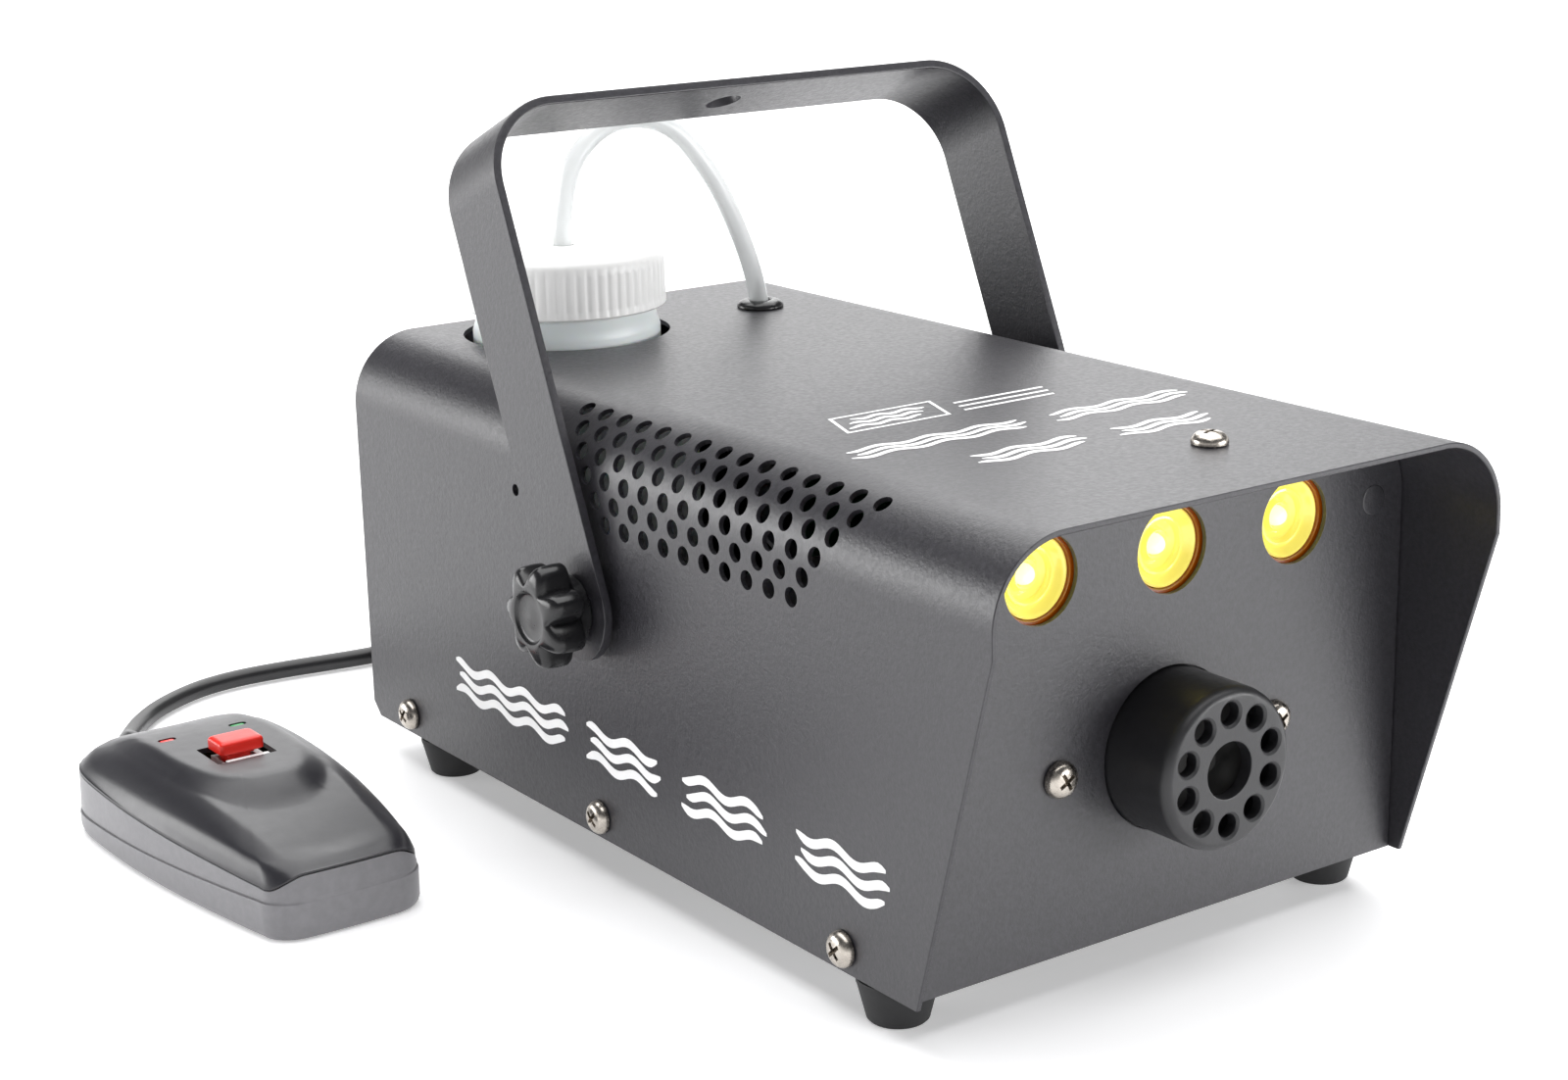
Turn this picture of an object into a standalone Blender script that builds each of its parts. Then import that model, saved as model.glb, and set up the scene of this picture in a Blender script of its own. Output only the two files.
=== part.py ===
# Portable fog machine with LED windows, tilting yoke, fluid tank and corded handset.
# Metres, +Z up, front faces -Y, underside of the feet at z = 0.
import bpy, bmesh
from math import sin, cos, pi, radians, sqrt, hypot
from mathutils import Vector, Matrix

for o in list(bpy.data.objects):
    bpy.data.objects.remove(o, do_unlink=True)

MM = 0.001
# ---- driving constants (millimetres) --------------------------------------
SHIFT_X, SHIFT_Y = 35.7, -112.5       # moves the drawing origin to the footprint centre
W, HH, LEN = 142.4, 103.4, 235.0       # housing width, height, length
SHEET = 1.2                            # cover sheet
RC = 18.0                              # rounding of the two long top edges
FOOT_H = 10.0
Z0 = FOOT_H                            # underside of the sheet metal
ZT = Z0 + HH
HOOD = 27.0                            # overhang of the top in front of the panel
HOOD_LOW = 3.0                         # overhang at the bottom of the cheeks
HOOD_Z = Z0 + 80.6                     # height where the cheeks start to slant
REAR_CH = 3.5
GAP = 0.3
VENT_P, VENT_ROW, VENT_D, VENT_C = 8.1, 5.15, 4.4, 74.6
VENT_Z1 = Z0 + 78.2
PIV_Y, PIV_Z = 117.65, 68.0
YOKE_OUT, YOKE_T, YOKE_HW, YOKE_D, YOKE_R = 75.9, 2.2, 12.5, 118.0, 20.0
LEAN = radians(23.5)
KNOB_R, KNOB_H = 12.5, 12.5
LED_X, LED_Z, LED_R = 36.0, Z0 + 84.0, 9.75
NOZ_Z, NOZ_R, NOZ_L = Z0 + 40.0, 18.0, 18.5
TANK_X, TANK_Y = -23.6, 204.8
HOSE_X, HOSE_Y, HOSE_R = 33.4, 198.0, 2.5
SCREW_Y = (21.6, 118.0, 213.0)
SCREW_Z = Z0 + 5.4
FOOT_X, FOOT_YF, FOOT_YR = 62.5, 14.5, 206.0
REM_X, REM_Y0, REM_L = -131.8, 127.5, 112.5
COIL_X, COIL_Y = -6.5, 276.0

# ---- materials ------------------------------------------------------------
def mat(name, rgb, rough, metal=0.0):
    m = bpy.data.materials.new(name)
    m.use_nodes = True
    b = m.node_tree.nodes["Principled BSDF"]
    b.inputs["Base Color"].default_value = (rgb[0], rgb[1], rgb[2], 1.0)
    b.inputs["Roughness"].default_value = rough
    b.inputs["Metallic"].default_value = metal
    m.diffuse_color = (rgb[0], rgb[1], rgb[2], 1.0)
    return m

M_COAT = mat("powder_coat_charcoal", (0.045, 0.047, 0.055), 0.5)
M_STEEL = mat("zinc_plated_steel", (0.55, 0.56, 0.58), 0.35, 1.0)
M_NICKEL = mat("nickel_screw", (0.62, 0.60, 0.57), 0.25, 1.0)
M_BLACK = mat("black_plastic", (0.012, 0.012, 0.013), 0.35)
M_GREYP = mat("grey_plastic", (0.16, 0.16, 0.17), 0.6)
M_RUBBER = mat("black_rubber", (0.015, 0.015, 0.015), 0.8)
M_WHITE = mat("white_plastic", (0.85, 0.85, 0.83), 0.4)
M_TANK = mat("natural_polyethylene", (0.8, 0.82, 0.82), 0.35)
M_ALU = mat("cast_aluminium", (0.6, 0.6, 0.6), 0.45, 1.0)
M_BRASS = mat("brass", (0.75, 0.55, 0.25), 0.3, 1.0)
M_AMBER = mat("amber_lens", (0.95, 0.5, 0.03), 0.15)
M_PCB = mat("circuit_board", (0.03, 0.18, 0.07), 0.5)
M_REM_L = mat("light_grey_plastic", (0.42, 0.42, 0.44), 0.4)
M_REM_D = mat("dark_grey_plastic", (0.06, 0.06, 0.07), 0.3)
M_RED = mat("red_plastic", (0.75, 0.03, 0.02), 0.35)
M_GREEN = mat("green_led", (0.05, 0.5, 0.12), 0.3)
M_NYLON = mat("nylon_washer", (0.02, 0.02, 0.02), 0.5)

NODES = []

def link(name, me, m=None):
    o = bpy.data.objects.new(name, me)
    bpy.context.scene.collection.objects.link(o)
    if m:
        me.materials.append(m)
    return o

def mesh_of(name, verts, faces):
    me = bpy.data.meshes.new(name)
    me.from_pydata([(v[0] * MM, v[1] * MM, v[2] * MM) for v in verts], [], faces)
    bm = bmesh.new()
    bm.from_mesh(me)
    bmesh.ops.remove_doubles(bm, verts=bm.verts, dist=1e-7)
    bmesh.ops.recalc_face_normals(bm, faces=bm.faces)
    bm.to_mesh(me)
    bm.free()
    return me

def raw(name, verts, faces, m=None):
    return link(name, mesh_of(name, verts, faces), m)

def to_axis(axis, c, u, v, a):
    # u, v are in-plane, a runs along the axis
    if axis == 'X':
        return (c[0] + a, c[1] + u, c[2] + v)
    if axis == 'Y':
        return (c[0] + u, c[1] + a, c[2] + v)
    return (c[0] + u, c[1] + v, c[2] + a)

def prism(name, pts, axis, a0, a1, m=None, c=(0, 0, 0)):
    n = len(pts)
    vs = [to_axis(axis, c, p[0], p[1], a0) for p in pts] + [to_axis(axis, c, p[0], p[1], a1) for p in pts]
    fs = [tuple(range(n)), tuple(range(2 * n - 1, n - 1, -1))]
    fs += [(i, (i + 1) % n, n + (i + 1) % n, n + i) for i in range(n)]
    return raw(name, vs, fs, m)

def box(name, x0, x1, y0, y1, z0, z1, m=None):
    return prism(name, [(x0, y0), (x1, y0), (x1, y1), (x0, y1)], 'Z', z0, z1, m)

def circle(r, n, cx=0.0, cy=0.0, ph=0.0):
    return [(cx + r * cos(2 * pi * i / n + ph), cy + r * sin(2 * pi * i / n + ph)) for i in range(n)]

def rrect(hx, hy, r, n, cx=0.0, cy=0.0):
    out = []
    for k, (sx, sy) in enumerate(((1, 1), (-1, 1), (-1, -1), (1, -1))):
        for i in range(n + 1):
            a = pi / 2 * k + pi / 2 * i / n
            out.append((cx + sx * (hx - r) + r * cos(a), cy + sy * (hy - r) + r * sin(a)))
    return out

def lathe(name, prof, axis, c, n, m=None, ring=False):
    # prof: list of (radius, along); radius 0 gives a pole; ring=True closes the profile on itself
    vs, idx = [], []
    for (r, a) in prof:
        if r <= 1e-9:
            idx.append([len(vs)])
            vs.append(to_axis(axis, c, 0.0, 0.0, a))
        else:
            row = []
            for i in range(n):
                t = 2 * pi * i / n
                row.append(len(vs))
                vs.append(to_axis(axis, c, r * cos(t), r * sin(t), a))
            idx.append(row)
    fs = []
    pairs = list(zip(idx[:-1], idx[1:]))
    if ring:
        pairs.append((idx[-1], idx[0]))
    for A, B in pairs:
        if len(A) == 1 and len(B) == 1:
            continue
        for i in range(n):
            j = (i + 1) % n
            if len(A) == 1:
                fs.append((A[0], B[i], B[j]))
            elif len(B) == 1:
                fs.append((A[i], B[0], A[j]))
            else:
                fs.append((A[i], B[i], B[j], A[j]))
    return raw(name, vs, fs, m)

def rings(name, rows, m=None):
    # loft closed rows of equal length, capped with fans
    n = len(rows[0])
    vs = [p for row in rows for p in row]
    fs = []
    for k in range(len(rows) - 1):
        for i in range(n):
            j = (i + 1) % n
            fs.append((k * n + i, k * n + j, (k + 1) * n + j, (k + 1) * n + i))
    for k in (0, len(rows) - 1):
        cx = sum(p[0] for p in rows[k]) / n
        cy = sum(p[1] for p in rows[k]) / n
        cz = sum(p[2] for p in rows[k]) / n
        vs.append((cx, cy, cz))
        ci = len(vs) - 1
        for i in range(n):
            fs.append((ci, k * n + (i + 1) % n, k * n + i))
    return raw(name, vs, fs, m)

def smooth_path(pts, step):
    # Catmull-Rom through the points, resampled about every step millimetres
    P = [Vector(p) for p in pts]
    P = [P[0] * 2 - P[1]] + P + [P[-1] * 2 - P[-2]]
    out = []
    for i in range(1, len(P) - 2):
        d = (P[i + 1] - P[i]).length
        k = max(1, int(round(d / step)))
        for s in range(k):
            t = s / k
            out.append(0.5 * ((2 * P[i]) + (P[i + 1] - P[i - 1]) * t
                              + (2 * P[i - 1] - 5 * P[i] + 4 * P[i + 1] - P[i + 2]) * t * t
                              + (3 * P[i] - P[i - 1] - 3 * P[i + 1] + P[i + 2]) * t ** 3))
    out.append(P[-2])
    return out

def tube(name, pts, r, n, m=None):
    P = [Vector(p) for p in pts]
    T = []
    for i in range(len(P)):
        a = P[max(0, i - 1)]
        b = P[min(len(P) - 1, i + 1)]
        T.append((b - a).normalized())
    up = Vector((0, 0, 1)) if abs(T[0].z) < 0.9 else Vector((1, 0, 0))
    u = T[0].cross(up).normalized()
    rows = []
    for i in range(len(P)):
        u = (u - T[i] * u.dot(T[i])).normalized()
        v = T[i].cross(u)
        rows.append([tuple(P[i] + (u * cos(2 * pi * k / n) + v * sin(2 * pi * k / n)) * r) for k in range(n)])
    return rings(name, rows, m)

def join(objs, name):
    bm = bmesh.new()
    for o in objs:
        bm.from_mesh(o.data)
    me = bpy.data.meshes.new(name)
    bm.to_mesh(me)
    bm.free()
    for o in objs:
        bpy.data.objects.remove(o, do_unlink=True)
    return link(name, me)

def boolean(o, cutter, op='DIFFERENCE'):
    if isinstance(cutter, (list, tuple)):
        cutter = join(list(cutter), o.name + "_cut") if len(cutter) > 1 else cutter[0]
    cutter.hide_render = True
    cutter.display_type = 'WIRE'
    md = o.modifiers.new("b", 'BOOLEAN')
    md.operation = op
    md.solver = 'EXACT'
    md.object = cutter
    dg = bpy.context.evaluated_depsgraph_get()
    dg.update()
    me = bpy.data.meshes.new_from_object(o.evaluated_get(dg), depsgraph=dg)
    o.modifiers.clear()
    mats = [x for x in o.data.materials]
    o.data = me
    me.materials.clear()
    for x in mats:
        me.materials.append(x)
    for p in me.polygons:
        p.material_index = 0
    bpy.data.objects.remove(cutter, do_unlink=True)
    return o

def smooth(o, angle=35):
    for p in o.data.polygons:
        p.use_smooth = True
    lim = radians(angle)
    bm = bmesh.new()
    bm.from_mesh(o.data)
    for e in bm.edges:
        e.smooth = len(e.link_faces) == 2 and e.calc_face_angle(0.0) < lim
    bm.to_mesh(o.data)
    bm.free()

def finish(o, origin=None, rounded=True):
    # weld, set the origin and move to the row frame
    bm = bmesh.new()
    bm.from_mesh(o.data)
    bmesh.ops.remove_doubles(bm, verts=bm.verts, dist=2e-6)
    bmesh.ops.dissolve_degenerate(bm, edges=bm.edges, dist=2e-6)
    bmesh.ops.triangulate(bm, faces=[f for f in bm.faces if len(f.verts) > 4])
    bm.to_mesh(o.data)
    bm.free()
    if origin is None:
        origin = (0.0, 0.0, 0.0)
    og = Vector(origin) * MM
    o.data.transform(Matrix.Translation(-og))
    o.location = og + Vector((SHIFT_X, SHIFT_Y, 0.0)) * MM
    if rounded:
        smooth(o)
    NODES.append(o.name)
    return o

# ---- cover: an inverted U of sheet steel -----------------------------------
def front_y(z):
    return -HOOD if z >= HOOD_Z - 1e-6 else -HOOD + (HOOD_Z - z) * (HOOD - HOOD_LOW) / (HOOD_Z - Z0)

def rear_y(z):
    return LEN - max(0.0, REAR_CH - (z - Z0))

def arch(hw, top, r, n, zs):
    left = [(-hw, z) for z in zs]
    arc = [(-hw + r - r * cos(pi / 2 * i / n), top - r + r * sin(pi / 2 * i / n)) for i in range(n + 1)]
    half = left + arc
    return half + [(-x, z) for (x, z) in reversed(half)]

def u_sheet(name, outer, inner, y0f, y1f, m):
    n = len(outer)
    vs = []
    for (x, z) in outer:
        vs.append((x, y0f(z), z))
    for (x, z) in inner:
        vs.append((x, y0f(z), z))
    for (x, z) in outer:
        vs.append((x, y1f(z), z))
    for (x, z) in inner:
        vs.append((x, y1f(z), z))
    fs = []
    for i in range(n - 1):
        fs.append((i, i + 1, n + i + 1, n + i))
        fs.append((2 * n + i, 3 * n + i, 3 * n + i + 1, 2 * n + i + 1))
        fs.append((i, 2 * n + i, 2 * n + i + 1, i + 1))
        fs.append((n + i, n + i + 1, 3 * n + i + 1, 3 * n + i))
    fs.append((0, n, 3 * n, 2 * n))
    fs.append((n - 1, 3 * n - 1, 4 * n - 1, 2 * n - 1))
    return raw(name, vs, fs, m)

NARC = 7
zs = [Z0, Z0 + REAR_CH, HOOD_Z]
cover = u_sheet("cover", arch(W / 2, ZT, RC, NARC, zs), arch(W / 2 - SHEET, ZT - SHEET, RC - SHEET, NARC, zs),
                front_y, rear_y, M_COAT)

def rod(p, d, r, length, n, ph=0.0):
    # short cutting cylinder centred on p along direction d
    d = Vector(d).normalized()
    up = Vector((0, 1, 0))
    u = d.cross(up).normalized()
    v = d.cross(u)
    P = Vector(p)
    rows = [[tuple(P + d * s + (u * cos(2 * pi * k / n + ph) + v * sin(2 * pi * k / n + ph)) * r) for k in range(n)]
            for s in (-length / 2, length / 2)]
    return rings("rod", rows)

cuts = []
for side in (-1, 1):
    for row in range(6):
        s = VENT_ROW * row
        flat = ZT - RC - VENT_Z1
        if s <= flat:
            px, pz, d = side * W / 2, VENT_Z1 + s, (side, 0, 0)
        else:
            a = (s - flat) / RC
            px, pz = side * (W / 2 - RC + RC * cos(a)), ZT - RC + RC * sin(a)
            d = (side * cos(a), 0, sin(a))
        cnt = 10 + row
        for k in range(cnt):
            y = VENT_C + (k - (cnt - 1) / 2) * VENT_P
            cuts.append(rod((px, y, pz), d, VENT_D / 2, 6.0, 6, 0.2))
    for y in SCREW_Y:
        cuts.append(rod((side * W / 2, y, SCREW_Z), (1, 0, 0), 2.2, 6.0, 8))
    cuts.append(rod((side * W / 2, PIV_Y, PIV_Z), (1, 0, 0), 3.2, 6.0, 16))
cuts.append(rod((-W / 2, 151.6, Z0 + 78.6), (1, 0, 0), 1.5, 6.0, 10))
cuts.append(lathe("c", [(0, ZT - 4), (27.0, ZT - 4), (27.0, ZT + 4), (0, ZT + 4)], 'Z', (TANK_X, TANK_Y, 0), 28))
cuts.append(lathe("c", [(0, ZT - 4), (4.3, ZT - 4), (4.3, ZT + 4), (0, ZT + 4)], 'Z', (HOSE_X, HOSE_Y, 0), 16))
cuts.append(lathe("c", [(0, ZT - 4), (2.2, ZT - 4), (2.2, ZT + 4), (0, ZT + 4)], 'Z', (15.0, 5.0, 0), 8))
boolean(cover, cuts)
finish(cover)

# ---- base tray --------------------------------------------------------------
BX = W / 2 - SHEET - GAP
tray_out = [(-BX, Z0 + 14), (-BX, Z0), (BX, Z0), (BX, Z0 + 14)]
tray_in = [(-BX + 1, Z0 + 14), (-BX + 1, Z0 + 1), (BX - 1, Z0 + 1), (BX - 1, Z0 + 14)]
tray = u_sheet("base_tray", tray_out, tray_in, lambda z: 1.6, lambda z: LEN - REAR_CH - 0.1, M_COAT)
cuts = [rod((s * BX, y, SCREW_Z), (1, 0, 0), 2.2, 6.0, 8) for s in (-1, 1) for y in SCREW_Y]
for s in (-1, 1):
    for y in (FOOT_YF, FOOT_YR):
        cuts.append(lathe("c", [(0, Z0 - 3), (2.9, Z0 - 3), (2.9, Z0 + 4), (0, Z0 + 4)], 'Z', (s * FOOT_X, y, 0), 12))
boolean(tray, cuts)
finish(tray, rounded=False)

# ---- end panels ---------------------------------------------------------------
def panel_outline(z_low):
    r = RC - SHEET - GAP
    top = ZT - SHEET - GAP
    return arch(BX, top, r, NARC, [z_low])

front = prism("front_panel", panel_outline(Z0), 'Y', 0.0, SHEET, M_COAT)
boolean(front, box("f", -48, 48, SHEET / 2, 14.0, ZT - SHEET - GAP - 1.2, ZT - SHEET - GAP), 'UNION')
def ycyl(r, x, z, y0, y1, n):
    return lathe("c", [(0, y0), (r, y0), (r, y1), (0, y1)], 'Y', (x, 0, z), n)
cuts = [ycyl(LED_R, sx * LED_X, LED_Z, -4, 4, 20) for sx in (-1, 0, 1)]
cuts.append(ycyl(NOZ_R + 0.4, 0, NOZ_Z, -4, 4, 30))
cuts += [ycyl(2.2, sx * 31.0, NOZ_Z, -4, 4, 8) for sx in (-1, 1)]
cuts.append(lathe("c", [(0, ZT - 6), (2.2, ZT - 6), (2.2, ZT + 2), (0, ZT + 2)], 'Z', (15.0, 5.0, 0), 8))
boolean(front, cuts)
finish(front, rounded=False)

PORT_X1, PORT_X2, PORT_ZL, PORT_ZH = 14.2, 40.0, 34.0, 76.0
rear = prism("rear_panel", panel_outline(Z0 + REAR_CH + 0.2), 'Y', LEN - SHEET, LEN, M_COAT)
cuts = [ycyl(7.3, PORT_X1, PORT_ZL, LEN - 5, LEN + 5, 24), ycyl(6.3, PORT_X1, PORT_ZH, LEN - 5, LEN + 5, 24),
        prism("c", rrect(13.8, 10.3, 2.0, 3, PORT_X2, PORT_ZL), 'Y', LEN - 5, LEN + 5),
        prism("c", rrect(6.8, 9.8, 0.5, 1, PORT_X2, PORT_ZH), 'Y', LEN - 5, LEN + 5)]
boolean(rear, cuts)
finish(rear, rounded=False)

# ---- yoke, drawn upright about its pivot then leaned back ------------------------
def yoke_rows():
    rows = []
    def sect(xo, zo, xi, zi, hw):
        rows.append([(xo, -hw, zo), (xo, hw, zo), (xi, hw, zi), (xi, -hw, zi)])
    O, I, D, r = YOKE_OUT, YOKE_OUT - YOKE_T, YOKE_D, YOKE_R
    end = [(-YOKE_HW * sin(radians(a)), YOKE_HW * cos(radians(a))) for a in (84, 72, 58, 44, 30, 15, 0)]
    for (z, hw) in end:
        sect(-O, z, -I, z, hw)
    nb = 8
    for i in range(nb + 1):
        a = pi / 2 * i / nb
        sect(-O + r - r * cos(a), D - r + r * sin(a), -O + r - (r - YOKE_T) * cos(a), D - r + (r - YOKE_T) * sin(a), YOKE_HW)
    for i in range(nb + 1):
        a = pi / 2 * (1 - i / nb)
        sect(O - r + r * cos(a), D - r + r * sin(a), O - r + (r - YOKE_T) * cos(a), D - r + (r - YOKE_T) * sin(a), YOKE_HW)
    for (z, hw) in reversed(end):
        sect(O, z, I, z, hw)
    return rows

rows = yoke_rows()
yoke = rings("yoke", rows, M_COAT)
cuts = [rod((s * YOKE_OUT, 0, 0), (1, 0, 0), 3.3, 8.0, 16) for s in (-1, 1)]
cuts.append(lathe("c", [(0, YOKE_D - 6), (4.5, YOKE_D - 6), (4.5, YOKE_D + 4), (0, YOKE_D + 4)], 'Z', (0, 0, 0), 18))
boolean(yoke, cuts)
yoke.data.transform(Matrix.Translation(Vector((0, PIV_Y, PIV_Z)) * MM) @ Matrix.Rotation(-LEAN, 4, 'X'))
finish(yoke, (0, PIV_Y, PIV_Z))

# ---- knobs, washers and nuts at the yoke pivot -------------------------------------
NK = 28
def knob(name, side):
    def lobed(k, x):
        return [(side * x, PIV_Y + (10.7 + 1.8 * cos(7 * 2 * pi * i / NK)) * k * cos(2 * pi * i / NK),
                 PIV_Z + (10.7 + 1.8 * cos(7 * 2 * pi * i / NK)) * k * sin(2 * pi * i / NK)) for i in range(NK)]
    def rnd(r, x):
        return [(side * x, PIV_Y + r * cos(2 * pi * i / NK), PIV_Z + r * sin(2 * pi * i / NK)) for i in range(NK)]
    b = YOKE_OUT + GAP
    rows = [rnd(2.8, b - 15.0), rnd(2.8, b), rnd(8.2, b), rnd(8.0, b + 3.0), lobed(0.86, b + 3.2),
            lobed(1.0, b + 5.0), lobed(1.0, b + 10.3), lobed(0.9, b + KNOB_H), rnd(6.2, b + KNOB_H), rnd(5.4, b + KNOB_H - 0.8)]
    o = rings(name, rows, M_BLACK)
    return finish(o, (side * b, PIV_Y, PIV_Z))
knob("knob_left", -1)
knob("knob_right", 1)
for side, tag in ((-1, "left"), (1, "right")):
    x0 = W / 2 + GAP
    o = lathe("pivot_washer_" + tag, [(3.1, side * x0), (7.0, side * x0), (7.0, side * (YOKE_OUT - YOKE_T - GAP)),
                                     (3.1, side * (YOKE_OUT - YOKE_T - GAP))], 'X', (0, PIV_Y, PIV_Z), 16, M_NYLON, ring=True)
    finish(o)
    xa, xb = W / 2 - SHEET - GAP, W / 2 - SHEET - GAP - 4.2
    o = prism("pivot_nut_" + tag, circle(4.7, 6), 'X', min(side * xa, side * xb), max(side * xa, side * xb), M_STEEL,
              (0, PIV_Y, PIV_Z))
    boolean(o, rod((side * (xa + xb) / 2, PIV_Y, PIV_Z), (1, 0, 0), 3.1, 12.0, 16))
    finish(o, rounded=False)

# ---- nozzle -----------------------------------------------------------------------
R = NOZ_R
prof = [(21.0, 3.0), (21.0, 1.5), (R, 1.5), (R, -NOZ_L + 1.6), (R - 1.6, -NOZ_L), (6.25, -NOZ_L),
        (6.25, -NOZ_L + 3.0), (15.8, -NOZ_L + 3.0), (15.8, 3.0)]
shroud = lathe("nozzle_shroud", prof, 'Y', (0, 0, NOZ_Z), 30, M_BLACK, ring=True)
cuts = [ycyl(2.5, 12.4 * cos(2 * pi * k / 10 + pi / 10), NOZ_Z + 12.4 * sin(2 * pi * k / 10 + pi / 10), -NOZ_L - 2, -NOZ_L + 5, 8)
        for k in range(10)]
boolean(shroud, cuts)
finish(shroud)
tip = lathe("nozzle_tip", [(0, 27.7), (3.6, 27.7), (3.6, -8.0), (2.2, -12.0), (0.9, -12.0), (0.9, -5.0), (0, -5.0)], 'Y',
            (0, 0, NOZ_Z), 18, M_BRASS)
finish(tip)

# ---- heater -------------------------------------------------------------------------
block = prism("heater_block", rrect(34.4, 20.0, 5.0, 3, 0, NOZ_Z), 'Y', 28.0, 112.0, M_ALU)
finish(block)
hb = box("heater_bracket_front", -42, 42, 1.5, 2.7, 24, 76, M_STEEL)
for s in (-1, 1):
    boolean(hb, box("l", min(s * 34.8, s * 36.0), max(s * 34.8, s * 36.0), 2.0, 58.0, 40, 60), 'UNION')
boolean(hb, [ycyl(21.4, 0, NOZ_Z, -1, 5, 32)] + [ycyl(2.2, s * 31.0, NOZ_Z, -1, 5, 8) for s in (-1, 1)])
finish(hb, rounded=False)
prof_u = [(-22, 11.4), (-22, 29.6), (22, 29.6), (22, 11.4), (20.8, 11.4), (20.8, 28.4), (-20.8, 28.4), (-20.8, 11.4)]
hr = prism("heater_bracket_rear", prof_u, 'Y', 92.0, 108.0, M_STEEL)
finish(hr, rounded=False)
th = lathe("thermostat", [(0, 70.3), (9.0, 70.3), (9.0, 71.5), (7.6, 71.5), (7.6, 77.0), (3.5, 78.5), (0, 78.5)], 'Z', (0, 78, 0), 20, M_STEEL)
finish(th)

# ---- pump -----------------------------------------------------------------------------
PX, PZ = 42.0, 37.0
pump = lathe("pump_body", [(0, 119.5), (2.6, 119.5), (2.6, 128.0), (13.0, 128.0), (14.0, 129.5), (14.0, 164.0), (13.0, 165.5),
                           (5.0, 165.5), (5.0, 172.0), (0, 172.0)], 'Y', (PX, 0, PZ), 16, M_STEEL)
elbow = tube("e", smooth_path([(PX, 169, PZ), (PX, 178, PZ), (PX - 2, 188, PZ + 4), (HOSE_X + 1, 196.5, PZ + 13), (HOSE_X, HOSE_Y, PZ + 22),
                               (HOSE_X, HOSE_Y, 64.0)], 7.0), 2.9, 8)
boolean(pump, elbow, 'UNION')
finish(pump)
pb = [(PX - 15, 11.4), (PX - 15, 22.7), (PX + 15, 22.7), (PX + 15, 11.4), (PX + 13.8, 11.4), (PX + 13.8, 21.5), (PX - 13.8, 21.5), (PX - 13.8, 11.4)]
finish(prism("pump_bracket", pb, 'Y', 138.0, 156.0, M_STEEL), rounded=False)
feed = tube("pump_feed_pipe", smooth_path([(PX, 118.8, PZ), (PX, 118.0, PZ), (PX - 0.8, 117.2, PZ + 0.7), (PX - 7, 116.4, PZ + 5), (29, 116.0, 46.0), (22.6, 115.4, 49.2), (22, 114.0, 49.5), (22, 112.5, 49.5)], 3.0),
            1.3, 10, M_BRASS)
finish(feed)

# ---- tank, cap, hose ---------------------------------------------------------------------
TX0, TX1, TY0, TY1, TZ0, TZ1 = -66.0, 1.0, 176.0, 231.5, 14.8, 104.0
tank = prism("fluid_tank", rrect((TX1 - TX0) / 2, (TY1 - TY0) / 2, 7.0, 4, (TX0 + TX1) / 2, (TY0 + TY1) / 2), 'Z', TZ0, TZ1, M_TANK)
collar = lathe("n", [(0, TZ1 - 6), (24.5, TZ1 - 6), (24.5, 115.0), (23.2, 119.8), (21.2, 119.8), (21.2, 128.7), (0, 128.7)], 'Z',
               (TANK_X, TANK_Y, 0), 28)
boolean(tank, collar, 'UNION')
inner = prism("i", rrect((TX1 - TX0) / 2 - 1.8, (TY1 - TY0) / 2 - 1.8, 5.2, 4, (TX0 + TX1) / 2, (TY0 + TY1) / 2), 'Z', TZ0 + 1.8, TZ1 - 1.8)
bore = lathe("n", [(0, TZ1 - 8), (19.2, TZ1 - 8), (19.2, 140.0), (0, 140.0)], 'Z', (TANK_X, TANK_Y, 0), 28)
boolean(inner, bore, 'UNION')
boolean(tank, inner)
finish(tank)

CAP_Z0, CAP_Z1 = 120.4, 135.1
cap = lathe("tank_cap", [(25.7, CAP_Z0), (26.2, CAP_Z0 + 1.0), (26.2, CAP_Z1 - 2.2), (25.4, CAP_Z1 - 0.6), (23.8, CAP_Z1), (4.5, CAP_Z1),
                         (4.5, CAP_Z1 + 1.0), (2.8, CAP_Z1 + 1.0), (2.8, 131.5), (21.6, 131.5), (21.6, CAP_Z0)], 'Z', (TANK_X, TANK_Y, 0), 28, M_WHITE, ring=True)
finish(cap, (TANK_X, TANK_Y, CAP_Z0))
seal = lathe("cap_seal", [(2.8, 129.0), (20.9, 129.0), (20.9, 131.2), (2.8, 131.2)], 'Z', (TANK_X, TANK_Y, 0), 24, M_RUBBER, ring=True)
finish(seal, (TANK_X, TANK_Y, CAP_Z0))
HOSE_PTS = [(TANK_X, TANK_Y, 34.3), (TANK_X, TANK_Y, 80.0), (TANK_X, TANK_Y, 128.0), (TANK_X, TANK_Y, 142.0), (TANK_X + 4.5, TANK_Y - 0.4, 158.0),
            (-7.0, 203.4, 166.5), (8.0, 201.6, 164.0), (20.0, 200.0, 150.0), (28.5, 198.8, 132.0), (HOSE_X - 0.6, 198.1, 117.0),
            (HOSE_X, HOSE_Y, 106.0), (HOSE_X, HOSE_Y, 90.0), (HOSE_X, HOSE_Y, 64.3)]
hose = tube("fluid_hose", smooth_path(HOSE_PTS, 9.0), HOSE_R, 8, M_TANK)
finish(hose, (TANK_X, TANK_Y, CAP_Z0))
filt = lathe("hose_filter", [(0, 20.0), (4.0, 20.0), (4.8, 21.0), (4.8, 31.0), (3.5, 34.0), (0, 34.0)], 'Z', (TANK_X, TANK_Y, 0), 18, M_STEEL)
finish(filt, (TANK_X, TANK_Y, CAP_Z0))
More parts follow.
